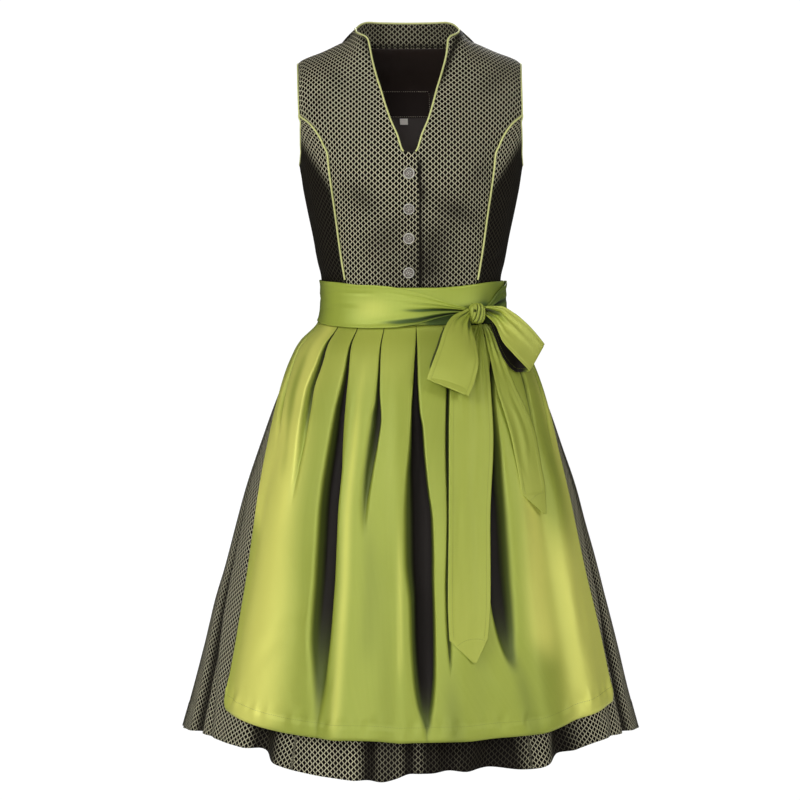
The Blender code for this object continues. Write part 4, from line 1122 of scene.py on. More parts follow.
def skirt_shade(start, end):
    """Painted shade: the depth of the folds, and the shadow under the apron and beside its side edges."""
    def shade(u, v, places):
        degrees, level = start + (end - start) * u, places[..., 2]
        folds = smooth(0.0005, 0.0075, fold_depth(degrees, level))
        turned = front_turn(degrees)
        past = np.minimum(turned - APRON_SIDES.at("left", level), APRON_SIDES.at("right", level) - turned)
        soft = sum(amount * bell(turned, middle, half_width) * smooth(begin + 0.02, begin - 0.04, level)
                   for middle, half_width, amount, begin in SKIRT_SHADES)
        above_hem = smooth(APRON_HEM + 0.004, APRON_HEM + 0.03, level)
        beside = 0.95 * smooth(np.where(turned < 0, -3.6, -1.6), 0.2, past) * above_hem
        return np.maximum(np.maximum(folds * 0.95, np.minimum(soft, 1.03)), beside)
    return shade


for name, start, end, seed in (("skirt_front", -90, 90, 0.6), ("skirt_back", 90, 270, 2.4)):
    cloth(f"{name}_cloth", name, JACQUARD, 250, 140, skirt_panel(start, end), skirt_relief(seed),
          skirt_shade(start, end), gore_grain(start, end))

# %% [markdown]
# ## The apron
# The apron's width is taken into the waistband by flat pleats. At the band two folded edges meet and leave
# only a dark line; lower down they part, the shade between them widens, and near the knee the pleat has
# opened out. So the apron's columns are not spread evenly. Each pleat gets columns for its two lips, its
# walls and its floor, and the flat cloth between pleats shares the rest.
# The shade in the pleats and the gleam on their ridges are painted into the satin's colour.

# %% Apron pleats
PLEAT = "level left right soft_left soft_right depth dark"
PLEATS = [Table(PLEAT, *rows) for rows in (  # floor of each pleat in degrees, softness of its two lips, depth, and painted shade (dark)
    ((-0.371, -74.1, -73.9, 0.5, 0.5, 0.0004, 1), (-0.405, -74.6, -73.4, 1, 1, 0.006, 0.7),
     (-0.44, -71, -69.6, 2, 2, 0.007, 0.4), (-0.48, -65, -64, 2.5, 2.5, 0.004, 0.2),
     (-0.53, -57.5, -57.4, 2, 2, 0, 0), (-0.9, -50.5, -50.4, 0.6, 0.6, 0, 0)),
    ((-0.371, -47.6, -47.4, 0.25, 0.25, 0.0004, 1), (-0.42, -47.6, -44.4, 1, 1.2, 0.01, 1),
     (-0.445, -48, -44.8, 1.5, 1.5, 0.013, 0.95), (-0.475, -46.2, -43.6, 1.8, 1.8, 0.011, 0.66),
     (-0.51, -44, -42.4, 2, 1.8, 0.008, 0.44), (-0.545, -41.9, -41.4, 1.8, 1.6, 0.004, 0.22),
     (-0.6, -40.5, -40.4, 1.5, 1.5, 0, 0), (-0.9, -39.6, -39.5, 0.8, 0.8, 0, 0)),
    ((-0.371, -31.5, -31.3, 0.25, 0.25, 0.0004, 1), (-0.45, -29, -26.6, 1, 1, 0.013, 1),
     (-0.478, -29.5, -25.9, 1.2, 1, 0.017, 1), (-0.515, -29.4, -25.1, 1.5, 1.2, 0.02, 1),
     (-0.554, -29, -23.9, 1.8, 1.4, 0.021, 1), (-0.63, -27.8, -23.5, 2.2, 1.6, 0.021, 1),
     (-0.71, -26.8, -23.3, 2.6, 1.8, 0.019, 0.96), (-0.76, -25.8, -23, 2.8, 2, 0.014, 0.8),
     (-0.802, -24.2, -22.9, 2.6, 2, 0.008, 0.52), (-0.845, -23.2, -22.9, 2.2, 1.8, 0.003, 0.2),
     (-0.9, -22.6, -22.5, 1.5, 1.5, 0, 0)),
    ((-0.371, -14.4, -14.2, 0.25, 0.25, 0.0004, 1), (-0.46, -12.5, -11.6, 1.2, 0.6, 0.009, 0.92),
     (-0.488, -12.3, -10.9, 2.6, 0.7, 0.011, 0.9), (-0.515, -12.9, -11.7, 2.8, 0.9, 0.011, 0.8),
     (-0.554, -13.8, -13, 2.4, 1.3, 0.0085, 0.55), (-0.59, -14.2, -13.8, 2, 1.6, 0.005, 0.28),
     (-0.64, -14.2, -14, 1.6, 1.6, 0, 0), (-0.9, -13.6, -13.4, 1.6, 1.6, 0, 0)),
    ((-0.371, 2.05, 2.15, 0.2, 0.2, 0.0004, 1), (-0.44, 0.6, 1.9, 0.3, 0.3, 0.014, 1),
     (-0.478, 0.1, 2.5, 0.4, 0.3, 0.02, 1), (-0.497, 0.1, 3.4, 0.8, 0.3, 0.022, 1),
     (-0.535, 0.2, 4, 1.7, 0.3, 0.024, 1), (-0.572, 0.7, 4.7, 3, 0.3, 0.025, 1),
     (-0.612, 1, 5.7, 3.8, 0.35, 0.025, 1), (-0.661, 1.2, 6, 4, 0.35, 0.025, 1),
     (-0.71, 1.8, 6, 3.2, 0.4, 0.025, 1), (-0.76, 2, 5.8, 3, 0.5, 0.023, 1),
     (-0.8, 2.3, 5.4, 2.6, 0.8, 0.018, 0.98), (-0.83, 2.7, 4.6, 2.2, 1.2, 0.011, 0.85),
     (-0.852, 3.2, 3.8, 1.8, 1.5, 0.005, 0.55), (-0.87, 3.4, 3.6, 1.4, 1.3, 0.001, 0.15),
     (-0.9, 3.4, 3.5, 1, 1, 0, 0)),
    ((-0.371, 16.9, 17.1, 0.25, 0.25, 0.0004, 1), (-0.451, 13.2, 13.8, 1, 0.8, 0.009, 0.9),
     (-0.587, 10.8, 11.2, 1, 0.8, 0.008, 0.7), (-0.76, 9.5, 9.9, 0.8, 0.8, 0.005, 0.5),
     (-0.8, 9.6, 9.8, 0.8, 0.8, 0, 0), (-0.9, 9.6, 9.7, 0.8, 0.8, 0, 0)),
    ((-0.371, 41.9, 42.1, 0.25, 0.25, 0.0004, 1), (-0.389, 41.2, 43.2, 0.4, 0.4, 0.006, 1),
     (-0.463, 30.5, 33.9, 0.8, 1, 0.014, 1), (-0.525, 27, 30.8, 1, 2.4, 0.019, 1),
     (-0.587, 24.2, 28.4, 1, 3.2, 0.02, 1), (-0.661, 23.2, 27.6, 1.2, 3.2, 0.02, 1),
     (-0.71, 23.4, 27.2, 1.5, 3, 0.017, 0.95), (-0.747, 24.4, 26.8, 2, 2.4, 0.011, 0.8),
     (-0.772, 25.6, 26.3, 2.2, 2.2, 0.006, 0.55), (-0.805, 27, 27.1, 2, 2, 0, 0),
     (-0.9, 28, 28.1, 1.2, 1.2, 0, 0)),
    ((-0.371, 57.9, 58.1, 0.3, 0.3, 0.0004, 1), (-0.43, 57, 58.6, 1.2, 1.2, 0.009, 0.8),
     (-0.47, 54.5, 55.3, 1.5, 1.5, 0.006, 0.4), (-0.52, 52, 52.1, 1.5, 1.5, 0, 0),
     (-0.9, 47.9, 48, 0.8, 0.8, 0, 0)),
    ((-0.371, 75.9, 76.1, 0.4, 0.4, 0.0004, 1), (-0.42, 75, 76.5, 1.5, 1.5, 0.007, 0.8),
     (-0.48, 68.5, 69.5, 2, 2, 0.005, 0.4), (-0.54, 61.5, 61.6, 1.8, 1.8, 0, 0),
     (-0.9, 56, 56.1, 0.8, 0.8, 0, 0)),
)]
FLAT_COLUMNS = (20, 15, 13, 12, 13, 11, 16, 12, 6, 15)
WALL_COLUMNS, FLOOR_COLUMNS, APRON_ROWS = 6, 2, 132
APRON_CORNER, APRON_WIDTH_AT_HEM, HEM_DEPTH = 0.01, 0.62, 0.0195
BAND_BOTTOM = -0.3705
APRON_TOP = BAND_BOTTOM - 0.0005
APRON_LIFTS = {"band": 0.0015, "free": 0.004, "hem": 0.002}
SWELLS = (  # soft crests (above zero) and hollows: angle high up and low down, half width, height, start
    (-22, -18.5, 3, 0.005, -0.44), (-47, -44, 7, 0.004, -0.48), (-9, -9, 4, -0.003, -0.6),
    (10.5, 13, 4, 0.003, -0.55), (37, 33, 4, 0.004, -0.5), (47, 44, 4, -0.0045, -0.42),
    (54, 51, 5, 0.004, -0.5), (-33, -31, 4, -0.002, -0.66), (-5, -3, 2.6, 0.0035, -0.46),
    (22, 20, 5, -0.0035, -0.7), (-56, -52, 3, -0.002, -0.55),
)


def apron_grid():
    """Angle, pleat depth, painted pleat shade and level of every point of the apron, row by row from the hem."""
    v = np.linspace(0, 1, APRON_ROWS + 1)[:, None]
    level = APRON_HEM + (APRON_TOP - APRON_HEM) * v
    left, right = APRON_SIDES.at("left", level), APRON_SIDES.at("right", level)
    columns = []

    def add(run, sunk=0.0, depth=0.0, dark=0.0):
        """Columns at the angles run, sunk by a share of the pleat's full depth and painted shade."""
        columns.append([np.broadcast_to(part, run.shape) for part in (run, depth * sunk, dark * sunk)])

    def shares(count):
        """Even steps that end at 1; the step at 0 is the column before."""
        return np.linspace(0, 1, count + 1)[1:]

    add(left)
    edge = left
    for pleat, flat in zip(PLEATS, FLAT_COLUMNS):
        start, end, soft_left, soft_right, depth, dark = [pleat.at(name, level) for name in PLEAT.split()[1:]]
        for floor_edge, width, side in ((start, soft_left, -1), (end, soft_right, 1)):  # down, then up
            lip, crisp = floor_edge + side * width, smooth(2.5, 0.6, width)
            ease = shares(WALL_COLUMNS) if side < 0 else 1 - (shares(WALL_COLUMNS) - 1 / WALL_COLUMNS)
            reach = crisp * np.sin(ease * np.pi / 2) + (1 - crisp) * ease
            sunk = crisp * (1 - np.cos(ease * np.pi / 2)) + (1 - crisp) * ease ** 2 * (3 - 2 * ease)
            if side < 0:
                add(edge + (lip - edge) * shares(flat))
            else:
                add(start + (end - start) * shares(FLOOR_COLUMNS)[:-1], 1.0, depth, dark)
            add(lip + (floor_edge - lip) * reach, sunk, depth, dark)
        add(lip)
        edge = lip
    add(edge + (right - edge) * shares(FLAT_COLUMNS[-1]))
    degrees, sink, dark = [np.hstack(parts) for parts in zip(*columns)]
    share = (degrees - left) / (right - left)
    run = np.minimum(share, 1 - share) * APRON_WIDTH_AT_HEM
    rounded = APRON_CORNER - np.sqrt(np.maximum(0, APRON_CORNER ** 2 - (APRON_CORNER - run) ** 2))
    corner = np.where(run < APRON_CORNER, rounded, 0)
    lifted = corner + HEM_RISE.at("rise", np.minimum(np.abs(degrees), 63))
    return degrees, sink, dark, level + lifted * (1 - v) ** 2 * smooth(0.25, 0.0, v)


apron_degrees, apron_sink, apron_pleat_shade, apron_level = apron_grid()
APRON_COLUMNS = apron_degrees.shape[1] - 1
print("apron columns:", APRON_COLUMNS)

TONES = (  # angle high up and low down, half width, painted shade (below zero a painted highlight), start level, end level
    (-50, -43, 10, -1, -0.47, -0.88), (-19.6, -18.3, 1.7, -0.48, -0.45, -0.87),
    (-3.4, -3.1, 1, -0.4, -0.62, -0.8), (42, 37, 5, -0.75, -0.53, -0.78),
    (51, 46.5, 8, -0.62, -0.63, -0.9), (-60, -48, 3, 0.3, -0.41, -0.57),
    (66, 56, 4, 0.22, -0.41, -0.57), (-70, -62, 13, -0.6, -0.36, -0.62),
    (68, 62, 9, -0.62, -0.42, -0.92), (-57, -50, 8, -0.5, -0.33, -0.46),
    (-25, -23, 26, -0.3, -0.33, -0.45), (20, 20, 18, -0.16, -0.33, -0.42),
    (9.5, 10.5, 3.2, 0.2, -0.79, -0.92), (28, 30.3, 2.8, 0.2, -0.77, -0.9),
    (-9, -6, 3.6, 0.1, -0.64, -0.88), (-12.5, -12, 2.6, 0.12, -0.6, -0.78),
    (10, 10.5, 8, 0.09, -0.38, -0.62), (-24, -6, 12, 0.05, -0.38, -0.52),
    (-33, -31.5, 2.2, 0.12, -0.52, -0.7),
)


def apron_shade(u, v, places):
    """Painted light: deep in a pleat the satin is painted nearly black, ridges get a painted highlight,
    and soft hollows are painted a duller green.
    """
    total = np.clip(apron_pleat_shade, 0, 1) ** 0.85
    for high, low, spread, amount, start, end in TONES:
        centre = high + (low - high) * smooth(start, end, apron_level)
        grown = smooth(start + 0.05, start - 0.06, apron_level) * smooth(end - 0.03, end + 0.03, apron_level)
        total = total + amount * grown * bell(apron_degrees, centre, spread) * (1 - total)
    return total


def apron_panel(u, v):
    below_band = APRON_LIFTS["free"] * smooth(-0.371, -0.41, apron_level)
    lift = APRON_LIFTS["band"] + below_band + APRON_LIFTS["hem"] * smooth(-0.7, -0.88, apron_level)
    swell = 0.0
    for high, low, spread, height, start in SWELLS:
        centre = high + (low - high) * smooth(start, -0.85, apron_level)
        grown = smooth(start + 0.06, start - 0.1, apron_level)
        swell = swell + height * grown * bell(apron_degrees, centre, spread)
    return off_form(apron_degrees, apron_level, lift + swell - apron_sink)


def apron_relief(u, v, across, up):
    """Drag lines, the turned-up hem and the small puckers along its stitches."""
    waves = sum(np.sin(across * pitch + phase) for pitch, phase in ((210, 0.4), (147, 1.9), (331, 3.0)))
    puckers = 0.0007 * waves * bell(up, HEM_DEPTH, 0.01)
    rolled = 0.0011 * smooth(0, 0.004, up) * smooth(HEM_DEPTH + 0.0015, HEM_DEPTH - 0.002, up)
    groove = -0.0007 * bell(up, HEM_DEPTH, 0.0014)
    drags = creases(across, up, (0.05, 0.06, 0.11, 0.15, 0.01, 0.0012, 0.006),
                    (0.16, 0.04, 0.19, 0.14, 0.009, 0.0011, -0.005),
                    (0.42, 0.05, 0.39, 0.17, 0.01, 0.0012, 0.006),
                    (0.56, 0.07, 0.6, 0.18, 0.009, 0.0012, -0.005),
                    (0.3, 0.07, 0.315, 0.2, 0.012, 0.0012, 0.004))
    return puckers + rolled + groove + drags


cloth("apron_cloth", "apron_panel", SATIN, APRON_COLUMNS, APRON_ROWS, apron_panel, apron_relief, apron_shade)

# %% [markdown]
# ## Waistband and ties
# The apron's pleats are sewn into a straight waistband. A long tie is sewn to each end of it, crosses the
# back, and comes round to the front, where the two are knotted. A tie is as wide as the band at the side
# and only as wide as a finger at the knot, so its cloth has to gather: the folds run along it, and they
# deepen as it narrows.

# %% Waistband and ties
TIE_LIFTS = {"band": 0.0026, "inner": 0.0048, "outer": 0.0066}
LEFT_GATHERS, RIGHT_GATHERS = (-46.0, 33.6), (112.0, 52.5)  # the angles between which each tie narrows
BAND_END, BAND_TOP, BELT_DIP, HEM_RIDGE = 100.0, -0.3155, 0.0068, 0.0004
TIE_TO_LEFT = Table(
    "degrees upper lower",
    (-260, -0.316, -0.37), (-90, -0.3145, -0.369), (-50, -0.3155, -0.373), (-27, -0.317, -0.3745),
    (-9.5, -0.3213, -0.3735), (2.3, -0.3277, -0.3695), (12, -0.3345, -0.363), (22, -0.342, -0.358),
    (33.6, -0.349, -0.3555),
)
TIE_TO_RIGHT = Table(
    "degrees upper lower",
    (52.5, -0.3455, -0.359), (57, -0.34, -0.362), (64, -0.33, -0.366), (74, -0.3215, -0.369),
    (90, -0.3175, -0.37), (260, -0.316, -0.37),
)


def dipping(degrees):
    """1 at the centre front, where the belt's upper edge sags, and 0 at the sides."""
    return smooth(62, 8, np.abs(degrees - 2))


def snug(degrees):
    """The layers are pulled flat round one side of the waist and stand off a little on the knot's side."""
    side = front_turn(degrees)
    pulled = smooth(-55, -82, side) * smooth(-125, -95, side)
    loose = smooth(52, 80, side) * smooth(125, 95, side)
    return 1 - 0.6 * pulled + 0.8 * loose


def waistband(u, v):
    degrees = BAND_END * (2 * u - 1)
    top = BAND_TOP - BELT_DIP * dipping(degrees)
    return off_form(degrees, BAND_BOTTOM + (top - BAND_BOTTOM) * v, TIE_LIFTS["band"] * snug(degrees))


def tie_degrees(table, u):
    """The angle along a tie. Its columns stand closer near the knot, where the folds are small."""
    first, last = table.places[0], table.places[-1]
    share = 1 - (1 - u) ** 1.5 if last < 100 else u ** 1.5
    return first + (last - first) * share


def tie(table, lift):
    def place(u, v):
        degrees = tie_degrees(table, u)
        upper, lower = table.at("upper", degrees), table.at("lower", degrees)
        upper = upper - BELT_DIP * dipping(degrees) * smooth(-9.5, -50.0, degrees)
        return off_form(degrees, lower + (upper - lower) * v, lift * snug(degrees) + 0 * v)
    return place


def gathered(share, growth, *folds):
    """Folds along a ribbon, each at a share of its width: half width, depth, and growth at which it starts."""
    total = np.zeros(np.shape(share))
    for middle, half_width, depth, start in folds:
        s = (share - middle) / half_width
        profile = 0.4 * bell(s, 2.0) + 0.25 * bell(s, -2.0) - bell(s)
        total += depth * smooth(start, 1.0, growth) * profile
    return total


def hemmed(share, width):
    """The double thickness of a narrow hem along both edges of a ribbon; width as a share of the ribbon."""
    edge = np.minimum(share, 1 - share)
    return HEM_RIDGE * (smooth(width * 1.12, width, edge) - bell(edge, width * 0.86, width * 0.1))


def tie_relief(table, gathers, hems, folds, pulls):
    """Gathers that grow towards the knot between two angles, drag lines, and hems that fade into the gathers."""
    def relief(u, v, across, up):
        degrees = tie_degrees(table, u)
        narrowed = gathered(v, smooth(*gathers, degrees), *folds)
        return narrowed + creases(degrees, v, *pulls) + hemmed(v, 0.075) * smooth(*hems, degrees)
    return relief


def gathers_shade(share, growth, *folds):
    """Painted shade along gathered folds: place, half width, darkness, and growth at which it starts."""
    return sum(dark * smooth(start, 1.0, growth) ** 0.7 * bell(share, middle, half_width)
               for middle, half_width, dark, start in folds)


def turning(degrees):
    """Painted shade where the belt turns away from the light at both sides of the waist."""
    away = np.abs(front_turn(degrees) + 8)
    return 0.2 * smooth(40, 78, away) + 0.06 * smooth(84, 70, away) * smooth(30, 60, away)


# Painted shade on a tie: a base amount, its turning from the light and its gathers, less a painted highlight
# (gleam).
def tie_shade(table, gathers, base, gleam, *folds):
    def shade(u, v, places):
        degrees = tie_degrees(table, u)
        shine = gleam * bell(degrees, -22, 14) * bell(v, 0.45, 0.35)
        return base + turning(degrees) + gathers_shade(v, smooth(*gathers, degrees), *folds) - shine
    return shade


# Painted shade where the band turns from the light, and a painted shadow under and beside the knot.
def band_shade(u, v, places):
    degrees = BAND_END * (2 * u - 1)
    knot_shadow = 0.62 * smooth(0.62, 0.25, v) * smooth(0, 14, degrees) * smooth(60, 46, degrees)
    knot_shadow = knot_shadow + 0.14 * bell(degrees, 50, 7) * smooth(0.9, 0.4, v)
    return turning(degrees) + knot_shadow


cloth("waistband", "apron_waistband", TIE_SATIN, 160, 16, waistband,
      lambda u, v, across, up: hemmed(v, 0.08), band_shade)
LEFT_FOLDS = ((0.11, 0.055, 0.003, 0.1), (0.43, 0.06, 0.0034, 0.42), (0.64, 0.03, 0.0012, 0.3),
              (0.84, 0.03, 0.001, 0.18))
LEFT_PULLS = (
    (-74, 0.3, -30, 0.44, 0.06, 0.0007, 0.05), (-64, 0.72, -18, 0.8, 0.04, 0.0006, 0.03),
    (-97, 0.44, -82, 0.6, 0.05, 0.0016, 0.02), (-100, 0.7, -86, 0.62, 0.05, 0.0012, 0.02),
    (-170, 0.35, -120, 0.5, 0.06, 0.0009, 0.04), (-235, 0.62, -190, 0.48, 0.05, 0.0008, -0.04),
    (-205, 0.24, -150, 0.22, 0.05, 0.0007, 0.03),
)
RIGHT_FOLDS = ((0.3, 0.06, 0.0024, 0.2), (0.58, 0.05, 0.0024, 0.05), (0.82, 0.045, 0.0018, 0.1))
RIGHT_PULLS = (
    (60, 0.52, 88, 0.86, 0.05, 0.0012, 0.03), (62, 0.3, 96, 0.22, 0.05, 0.001, -0.03),
    (130, 0.4, 176, 0.56, 0.05, 0.0007, 0.03),
)
cloth("left_tie", "tie_to_left", TIE_SATIN, 330, 44, tie(TIE_TO_LEFT, TIE_LIFTS["outer"]),
      tie_relief(TIE_TO_LEFT, LEFT_GATHERS, (33, -10), LEFT_FOLDS, LEFT_PULLS),
      tie_shade(TIE_TO_LEFT, LEFT_GATHERS, 0, 0.35, (0.13, 0.065, 0.97, 0.08), (0.43, 0.05, 0.92, 0.4),
                (0.3, 0.1, 0.3, 0.5), (0.64, 0.03, 0.25, 0.3), (0, 0.03, 0.55, 0.3)))
cloth("right_tie", "tie_to_right", TIE_SATIN, 240, 36, tie(TIE_TO_RIGHT, TIE_LIFTS["inner"]),
      tie_relief(TIE_TO_RIGHT, RIGHT_GATHERS, (62, 84), RIGHT_FOLDS, RIGHT_PULLS),
      tie_shade(TIE_TO_RIGHT, RIGHT_GATHERS, 0.12, 0, (0.3, 0.05, 0.7, 0.2), (0.58, 0.045, 0.6, 0.05)))

# %% [markdown]
# ## The bow
# A loop is a ribbon that leaves the knot, turns over at its tip and comes back. Each row of the tables is
# one line across the ribbon, so the two layers, the open slit between them and the turn at the tip are all
# one piece, as they are in cloth. The tails hang over the apron and end in mitred points.

# %% Bow loops
BOW_COLUMNS = "along edge_x edge_y edge_z far_x far_y far_z"
BOW_LEFT = Table(
    BOW_COLUMNS,
    (0, 0.0751, -0.0961, -0.349, 0.0754, -0.0961, -0.3625), (1, 0.0531, -0.116, -0.3582, 0.079, -0.114, -0.3764),
    (2, 0.0424, -0.136, -0.3727, 0.0837, -0.132, -0.3961), (3, 0.0345, -0.154, -0.3948, 0.0857, -0.15, -0.4155),
    (4, 0.0254, -0.168, -0.4181, 0.0801, -0.166, -0.44), (5, 0.019, -0.174, -0.4355, 0.0723, -0.176, -0.457),
    (6, 0.0229, -0.162, -0.4198, 0.0751, -0.164, -0.4401), (7, 0.0321, -0.142, -0.3955, 0.0756, -0.146, -0.4132),
    (8, 0.0401, -0.122, -0.376, 0.0761, -0.126, -0.3887), (9, 0.0695, -0.0955, -0.356, 0.073, -0.0955, -0.364),
)
BOW_RIGHT = Table(
    BOW_COLUMNS,
    (0, 0.0963, -0.0822, -0.3465, 0.0967, -0.083, -0.3575), (1, 0.1165, -0.086, -0.3464, 0.109, -0.1, -0.3706),
    (2, 0.1348, -0.088, -0.3555, 0.1181, -0.112, -0.3908), (3, 0.156, -0.085, -0.3739, 0.1348, -0.118, -0.4099),
    (4, 0.1752, -0.076, -0.3968, 0.1537, -0.106, -0.4303), (5, 0.1599, -0.066, -0.3789, 0.1384, -0.1, -0.432),
    (6, 0.1377, -0.06, -0.3633, 0.1199, -0.109, -0.4134), (7, 0.1177, -0.062, -0.3526, 0.1086, -0.098, -0.3841),
    (8, 0.1015, -0.077, -0.347, 0.1005, -0.079, -0.358),
)


def loop(table):
    """A ribbon that goes out and comes back: u across it from its far edge, v along it."""
    def place(u, v):
        along = v * table.places[-1]
        edge, far = [stacked(*[table.at(f"{side}_{axis}", along) for axis in "xyz"]) for side in ("edge", "far")]
        return far + (edge - far) * u[..., None]
    return place


def loop_relief(near, folds, far, behind, bulge, hollow):
    """Gathers at the knot in both layers, the bulge of an open loop and its hems."""
    def relief(u, v, across, up):
        out, back = np.sin(np.pi * np.minimum(v / 0.5, 1)), np.sin(np.pi * np.maximum(v * 2 - 1, 0))
        gathers = gathered(u, smooth(near, 0.0, v), *folds) + gathered(u, smooth(far, 1.0, v), *behind)
        rounded = bulge * np.sin(np.pi * u) * (out - hollow * back)
        return gathers + rounded + hemmed(u, 0.1) * smooth(0.06, 0.3, v)
    return relief


def loop_shade(turn, depth, gleam, *folds):
    """Painted shadow on the returning layer, which lies in the loop's own shadow, painted shade on the gathers
    at the knot, and a painted highlight (gleam) on the outgoing layer.
    """
    def shade(u, v, places):
        inner = smooth(turn, turn + 0.1, v)
        gathers = gathers_shade(u, smooth(0.36, 0.0, v), *folds)
        return depth * inner + gleam * (1 - inner) * smooth(0.02, 0.2, v) + gathers
    return shade


cloth("left_loop", "bow_loop_left", SATIN, 44, 150, loop(BOW_LEFT),
      loop_relief(0.4, ((0.2, 0.05, 0.0022, 0.25), (0.46, 0.06, 0.0018, 0.35), (0.74, 0.05, 0.0016, 0.3)),
                  0.7, ((0.35, 0.07, 0.0016, 0.2), (0.65, 0.07, 0.0016, 0.2)), 0.003, 0.5),
      loop_shade(0.6, 0.7, -0.22, (0.16, 0.1, 0.75, 0.5), (0.74, 0.05, 0.5, 0.55)))
cloth("right_loop", "bow_loop_right", SATIN, 44, 150, loop(BOW_RIGHT),
      loop_relief(0.55, ((0.62, 0.07, 0.0042, 0.05), (0.3, 0.06, 0.0022, 0.3), (0.84, 0.04, 0.0016, 0.15)),
                  0.66, ((0.4, 0.08, 0.0018, 0.2),), 0.0032, 0),
      loop_shade(0.5, 1, -0.34, (0.6, 0.07, 0.9, 0.2), (0.3, 0.06, 0.5, 0.55)))

# %% Tails
TAIL_LONG = Table(
    "level left right lift",
    (-0.783, 0.077, 0.08, 0.011), (-0.7545, 0.048, 0.0945, 0.0105), (-0.706, 0.0461, 0.0976, 0.0105),
    (-0.61, 0.0476, 0.0983, 0.0095), (-0.51, 0.0481, 0.1025, 0.01), (-0.453, 0.05, 0.1, 0.0095),
    (-0.402, 0.064, 0.0925, 0.0095), (-0.378, 0.078, 0.0885, 0.009), (-0.3702, 0.082, 0.086, 0.01),
)
TAIL_SHORT = Table(
    "level left right lift",
    (-0.61, 0.166, 0.169, 0.01), (-0.583, 0.1385, 0.1685, 0.0095), (-0.55, 0.1325, 0.1635, 0.0095),
    (-0.508, 0.124, 0.156, 0.0095), (-0.446, 0.106, 0.129, 0.01), (-0.398, 0.094, 0.108, 0.0095),
    (-0.378, 0.0895, 0.0985, 0.01), (-0.3702, 0.0866, 0.0925, 0.01),
)
POINT_SHARE, TAIL_ASIDE, MITRE_RIDGE = 0.1, 0.003, 0.0005


def tail(table):
    """A tail: u across, v up from the point of its mitred end, whose two sides are straight."""
    shoulder = table.places[1]

    def place(u, v):
        in_point = np.minimum(v / POINT_SHARE, 1)
        above = np.maximum(v - POINT_SHARE, 0) / (1 - POINT_SHARE)
        level = table.places[0] + (shoulder - table.places[0]) * in_point + (table.places[-1] - shoulder) * above
        narrowing = (table.rows[0] - table.rows[1])[:, None, None] * (1 - in_point)
        left, right = [table.at(side, np.maximum(level, shoulder)) + narrowing[column]
                       for side, column in (("left", 1), ("right", 2))]
        x = left + (right - left) * u - TAIL_ASIDE * smooth(-0.39, -0.46, level)
        return off_form(form_degrees(x, level), level, table.at("lift", level))
    return place


def tail_shade(u, v, places):
    """Painted light: the tails hang in front of everything and get a painted highlight, more towards their
    points; painted shade darkens them close under the knot.
    """
    return -0.14 - 0.12 * smooth(0.5, 0.1, v) + 0.36 * smooth(0.8, 1, v)


def tail_relief(folds, pulls):
    """Folds that spread from the knot, soft drag lines, the edge hems and the turned-up point."""
    def relief(u, v, across, up):
        spread = gathered(u, smooth(0.6, 1.0, v), *folds)
        hems = hemmed(u, 0.13) * smooth(0.96, 0.8, v) * smooth(POINT_SHARE, 0.13, v)
        mitre = MITRE_RIDGE * smooth(POINT_SHARE * 1.02, POINT_SHARE * 0.96, v)
        return spread + creases(u, v, *pulls) + hems + mitre
    return relief


cloth("long_tail", "tail_long", SATIN, 40, 180, tail(TAIL_LONG), tail_relief(
    ((0.3, 0.08, 0.002, 0.1), (0.62, 0.07, 0.0024, 0.02), (0.85, 0.05, 0.0014, 0.2)),
    ((0.2, 0.3, 0.34, 0.62, 0.1, 0.0008, 0.03), (0.74, 0.16, 0.64, 0.5, 0.1, 0.0008, -0.03),
     (0.55, 0.45, 0.7, 0.74, 0.09, 0.0007, 0.02))), tail_shade)
cloth("short_tail", "tail_short", SATIN, 32, 150, tail(TAIL_SHORT), tail_relief(
    ((0.34, 0.09, 0.002, 0.06), (0.72, 0.08, 0.0022, 0.02)),
    ((0.25, 0.2, 0.4, 0.55, 0.12, 0.0008, 0.03), (0.7, 0.3, 0.6, 0.66, 0.1, 0.0007, -0.03))), tail_shade)

# %% [markdown]
# ## The knot
# In the knot the tie is wrapped over itself under tension, which leaves two or three round folds side by
# side with sharp lines between them. A rounded block gives the mass, and the lines are pressed into it.

# %% Knot
KNOT = {"degrees": 38.5, "level": -0.356, "lift": 0.013, "wide": 0.0235, "high": 0.0275, "deep": 0.016}
KNOT_LINES = (  # place on the face from -1 to 1, lean, bow, half width, depth in metres
    (-0.52, 0.34, 0.1, 0.06, 0.003), (-0.02, 0.26, 0.14, 0.07, 0.0034), (0.44, 0.2, 0.16, 0.06, 0.003),
    (0.78, 0.12, 0.1, 0.05, 0.0018), (-0.84, 0.2, 0, 0.05, 0.0016),
)
KNOT_DEEPEST, KNOT_HOLE = 0.0034, 0.004


def knot_depth(side, height):
    """How far the face is pressed in: sharp lines between rounded wraps."""
    total = 0.0
    for place, lean, bow, half_width, depth in KNOT_LINES:
        s = (side - place - lean * height - bow * (1 - height ** 2)) / half_width
        total = max(total, depth * math.exp(-abs(s) ** 1.3 * 0.8))
    hole = ((side + 0.62) / 0.16) ** 2 + ((height - 0.3) / 0.13) ** 2
    return total + KNOT_HOLE * math.exp(-hole)


